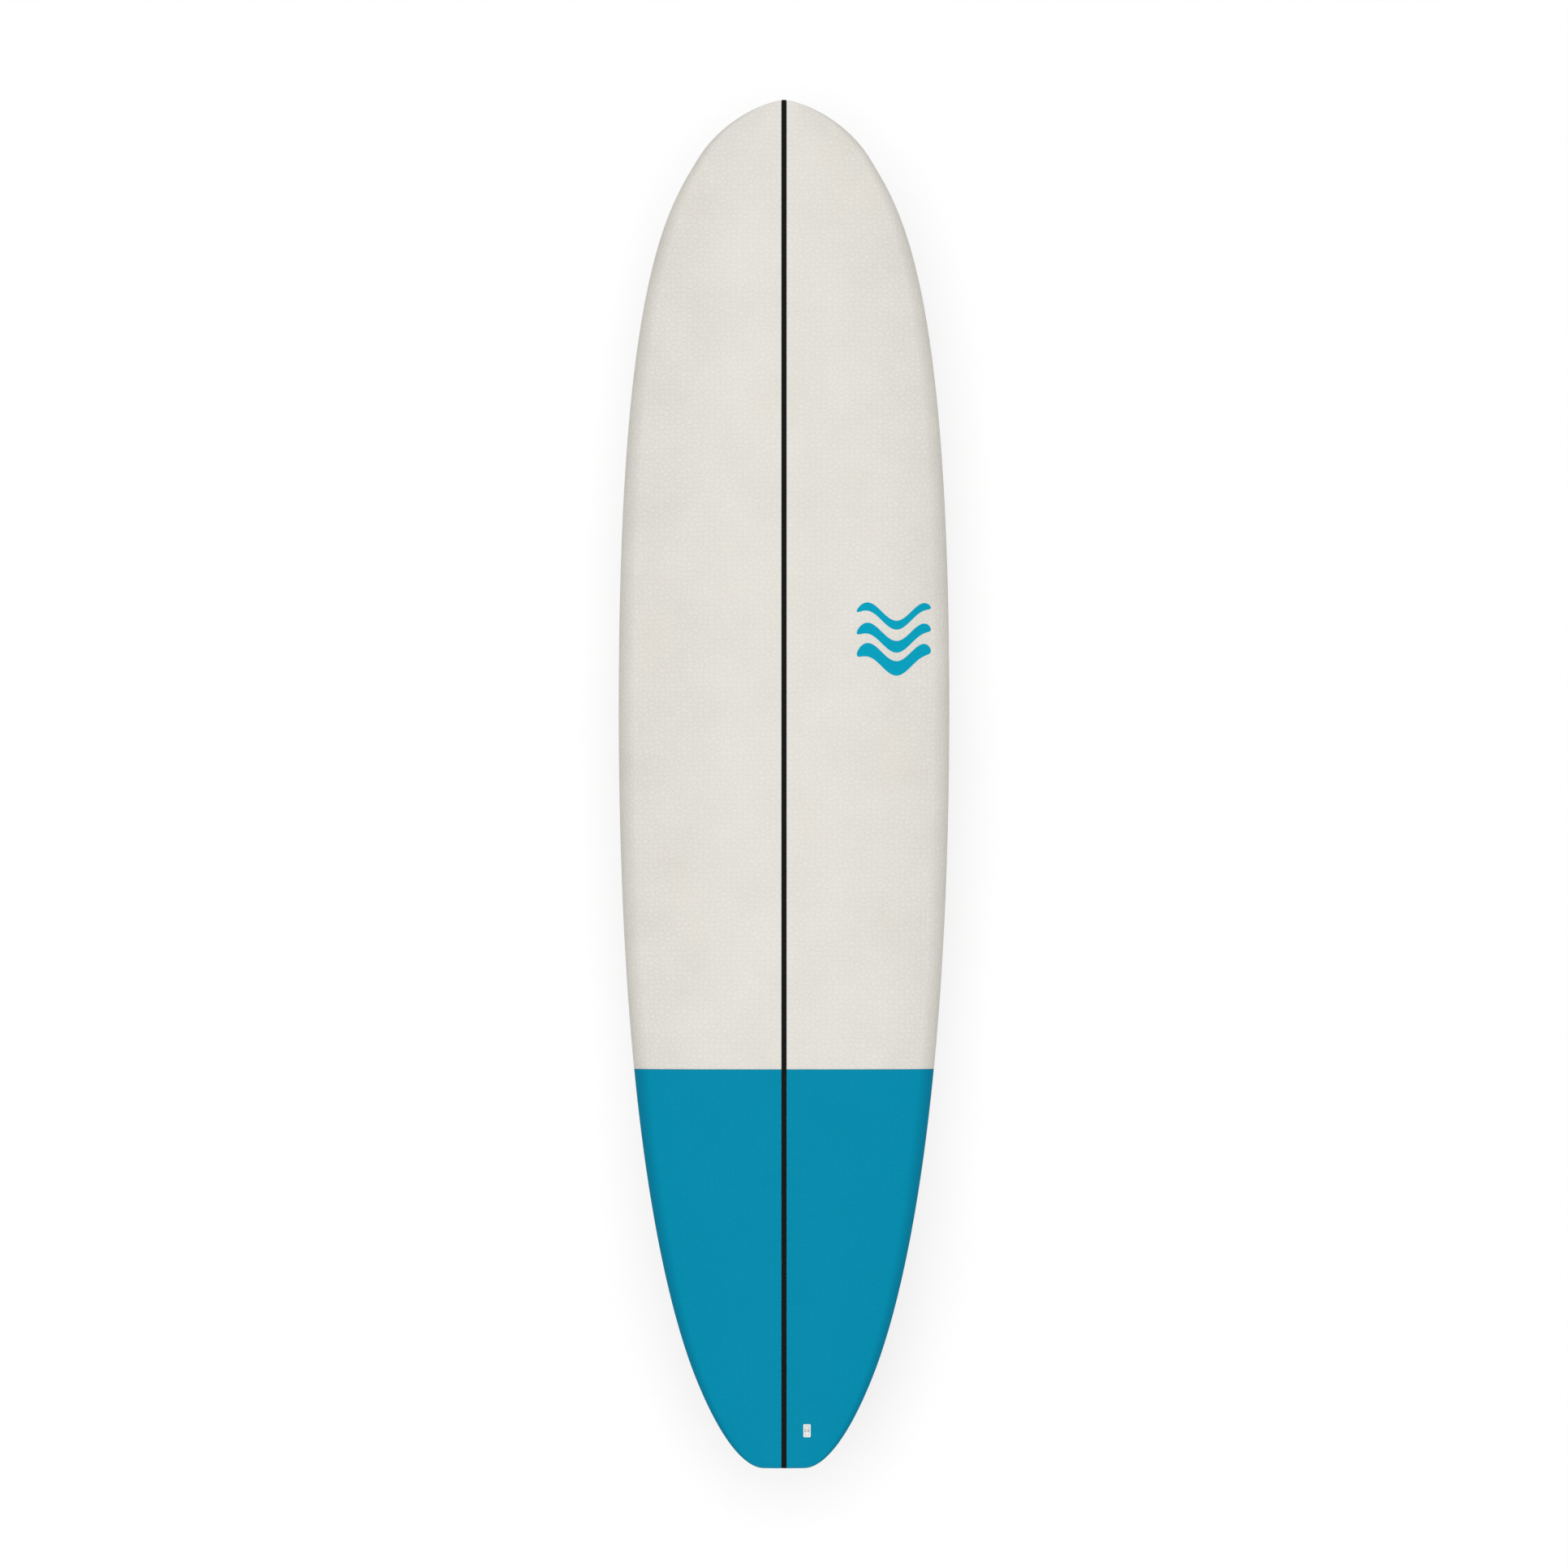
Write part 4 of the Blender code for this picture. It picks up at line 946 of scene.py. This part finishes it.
def grub_screw(side, material):
    """Headless screw with a hexagon socket."""
    label = "left" if side < 0 else "right"
    place = (0, GRUB_Y, GRUB_TOP + GRUB_LENGTH / 2)
    matrix = moved(side_axes(side), place, HALF_TURN)
    half = GRUB_LENGTH / 2
    profile = [(0, half), (GRUB_RADIUS - 0.0004, half)]
    profile += thread(GRUB_RADIUS, half - 0.0004, -half + 0.0010)
    profile += [(GRUB_RADIUS - 0.0010, -half), (0, -half)]
    shape = lathe("grub", profile, matrix)
    cut(shape, rod("socket", GRUB_SOCKET, SOCKET_BORE, moved(matrix, (0, 0, half)), steps=6))
    name = f"side_fin_screw_{label}"
    new_object(f"side_fin_fixing_{label}", shape, material, name, [name])


def round_bar(name, radius, length, matrix):
    """A rod that is shaded as round."""
    bar = rod(name, radius, length, matrix)
    bar.shade_smooth()
    bar.set_sharp_from_angle(angle=math.radians(50))
    return bar


def centre_pin_and_plate(steel, brass):
    pin = round_bar("pin", PIN_RADIUS, PIN_LENGTH, moved(CENTRE_AXES, (0, PIN_Y, PIN_HEIGHT), ACROSS))
    new_object("centre_fin_cross_pin", pin, steel, "centre_fin", ["centre_fin_pin"])
    middle = CHANNEL[0] + GAP
    eased = {"low": middle, "eased_by": PLATE_EDGE}
    plate = slab("plate", PLATE, SLOT_CORNER, CENTRE_AXES, centre=(0, SCREW_Y), **eased)
    cut(plate, rod("hole", SCREW_RADIUS + GAP, BORE, moved(CENTRE_AXES, (0, SCREW_Y, middle))))
    new_object("centre_fin_nut_plate", plate, brass, "centre_fin", ["centre_fin_plate"])


def plug_rings(edge=0.0004):
    """The leash cup's rings: up its outside, over its rim and down into its well, with eased edges."""
    (rim_w, rim_l, rim), (cup_w, cup_l, cup), (well_w, well_l, well) = LEASH_FLANGE, LEASH_CUP, LEASH_HOLLOW
    rings = [(cup_w - 2 * edge, cup_l - 2 * edge, LEASH_CORNER - edge, -cup)]
    rings += [(cup_w, cup_l, LEASH_CORNER, -cup + edge), (cup_w, cup_l, LEASH_CORNER, -rim)]
    rings.append((rim_w, rim_l, LEASH_CORNER, -rim))
    for turn in np.linspace(0, math.pi / 2, 5):
        inset, drop = edge * (1 - math.cos(turn)), edge * (1 - math.sin(turn))
        rings.append((rim_w - 2 * inset, rim_l - 2 * inset, LEASH_CORNER - inset, -drop))
    for turn in np.linspace(math.pi / 2, 0, 5):
        inset, drop = edge * (1 - math.cos(turn)), edge * (1 - math.sin(turn))
        rings.append((well_w + 2 * inset, well_l + 2 * inset, WELL_CORNER + inset, -drop))
    rings.append((well_w, well_l, WELL_CORNER, -well + edge))
    rings.append((well_w - 2 * edge, well_l - 2 * edge, WELL_CORNER - edge, -well))
    return rings


def leash_plug(plastic, steel):
    shape = tray("plug", plug_rings(), LEASH_AXES)
    place = moved(LEASH_AXES, (0, 0, -LEASH_BAR_DROP), ACROSS)
    cut(shape, rod("hole", LEASH_BAR_RADIUS + GAP, BORE, place))
    new_object("leash_plug_cup", shape, plastic, stands_for=["leash_cup"])
    bar = round_bar("bar", LEASH_BAR_RADIUS, LEASH_BAR_LENGTH, place)
    new_object("leash_plug_bar", bar, steel, stands_for=["leash_bar"])


# ---------------------------------------------------------------- emblem


def wave_band(name, centre_y, thick, material):
    """One plain wave band of the emblem, a printed film that follows the deck."""
    top, low = [], []
    for i in range(BAND_POINTS + 1):
        share = i / BAND_POINTS
        x = EMBLEM_CENTRE[0] + (share - 0.5) * EMBLEM_SIZE
        wave = math.sin(2 * math.pi * (share * WAVE_TURNS + WAVE_START))
        middle = centre_y + WAVE_HEIGHT * EMBLEM_SIZE * wave
        taper = math.sqrt(max(0.0, 1 - (2 * share - 1) ** 6))
        half = max(thick / 2 * taper, 0.0002)
        row_top, row_low = [], []
        for k in range(BAND_ACROSS + 1):
            y = middle + half * (2 * k / BAND_ACROSS - 1)
            z = float(deck_height(x, y))
            row_top.append((x, y, z + FILM_LIFT + FILM))
            row_low.append((x, y, z + FILM_LIFT))
        top.append(row_top)
        low.append(row_low)
    rings = [a + b[::-1] for a, b in zip(top, low)]
    mesh = tidy_mesh(ring_body(name, rings))
    deck_layout(mesh)
    new_object(name, mesh, material)


def emblem(material):
    pitch = EMBLEM_SIZE * BAND_PITCH
    for i, thick in enumerate(BAND_THICK):
        wave_band(f"emblem_wave_{i + 1}", EMBLEM_CENTRE[1] + (i - 1) * pitch, thick, material)


# ---------------------------------------------------------------- studio


def studio():
    """A pale floor that curves up into a low wall all round, under soft light from above."""
    profile = [(radius, 0.0) for radius in (0.0, 2.0, 6.0, 14.0, FLOOR_RADIUS)]
    for i in range(1, 17):
        angle = math.pi / 2 * i / 16
        out, up = FLOOR_BEND * math.sin(angle), FLOOR_BEND * (1 - math.cos(angle))
        profile.append((FLOOR_RADIUS + out, up))
    profile.append((FLOOR_RADIUS + FLOOR_BEND, FLOOR_BEND + WALL_HEIGHT))
    mesh = lathe("studio_floor", profile, Matrix.Translation((0, 0, FLOOR_Z)), steps=96)
    if mesh.polygons[0].normal.z < 0:
        mesh.flip_normals()
    mesh.shade_smooth()
    floor = bpy.data.objects.new("studio_floor", mesh)
    mesh.materials.append(studio_floor())
    bpy.context.scene.collection.objects.link(floor)

    sun = bpy.data.lights.new("overhead", "SUN")
    sun.energy = SUN_STRENGTH
    sun.angle = math.radians(SUN_SPREAD)
    lamp = bpy.data.objects.new("overhead", sun)
    lamp.rotation_euler = (*(math.radians(v) for v in SUN_TILT), 0)
    bpy.context.scene.collection.objects.link(lamp)

    world = bpy.data.worlds.new("studio")
    world.use_nodes = True
    background = world.node_tree.nodes["Background"]
    background.inputs["Color"].default_value = (1.0, 1.0, 1.0, 1.0)
    background.inputs["Strength"].default_value = SKY_STRENGTH
    bpy.context.scene.world = world


def camera():
    data = bpy.data.cameras.new("camera")
    data.sensor_width = 36.0
    data.lens = data.sensor_width * (CAMERA_HEIGHT - ENDS_HEIGHT) / FRAME_HEIGHT
    data.clip_start, data.clip_end = 0.1, 400.0
    obj = bpy.data.objects.new("camera", data)
    obj.location = (0, CAMERA_Y, CAMERA_HEIGHT)
    bpy.context.scene.collection.objects.link(obj)
    bpy.context.scene.camera = obj
    bpy.context.scene.view_settings.view_transform = "Standard"


# ---------------------------------------------------------------- the whole board


def repaint(nodes, material):
    for name in nodes:
        mesh = NODES[name].data
        mesh.materials.clear()
        mesh.materials.append(material)


def main():
    white = deck_foam("deck_foam_white", srgb(228, 225, 218), srgb(206, 203, 195), 1.0, srgb(227, 222, 211))
    blue = deck_foam("deck_foam_blue", srgb(0, 136, 169), srgb(0, 114, 144), 0.30)
    black = deck_foam("deck_foam_black", srgb(20, 22, 19), srgb(13, 14, 12), 0.6)
    print_ink = deck_foam("emblem_print", srgb(3, 160, 190), srgb(0, 142, 170), 0.8)
    steel = bare_metal("steel", (0.62, 0.63, 0.63), (0.50, 0.51, 0.52), 0.28)
    brass = bare_metal("brass", (0.70, 0.50, 0.22), (0.55, 0.38, 0.16), 0.32)
    plug = moulded_plastic("plug_plastic", (0.93, 0.93, 0.92), (0.90, 0.90, 0.88), 0.34)
    track = moulded_plastic("box_plastic", (0.82, 0.82, 0.80), (0.77, 0.77, 0.75), 0.40)
    nylon = fin_nylon()

    deck_panels({"front": (white, "foam_white"), "tail": (blue, "foam_blue")})
    centre_stripe((black, "foam_black"))
    bottom_panel(slick_skin())
    centre_box(track)
    centre_fin(nylon)
    centre_screw(steel)
    centre_pin_and_plate(steel, brass)
    for side in (-1, 1):
        side_box(side, track)
        side_fin(side, nylon)
        grub_screw(side, steel)
    leash_plug(plug, steel)
    emblem(print_ink)
    repaint(("core_left", "core_right"), bead_foam())
    repaint(("centre_fin_block", "side_fin_block_left", "side_fin_block_right", "leash_block"), dense_foam())
    repaint(("stringer",), stringer_wood())
    studio()
    camera()


main()
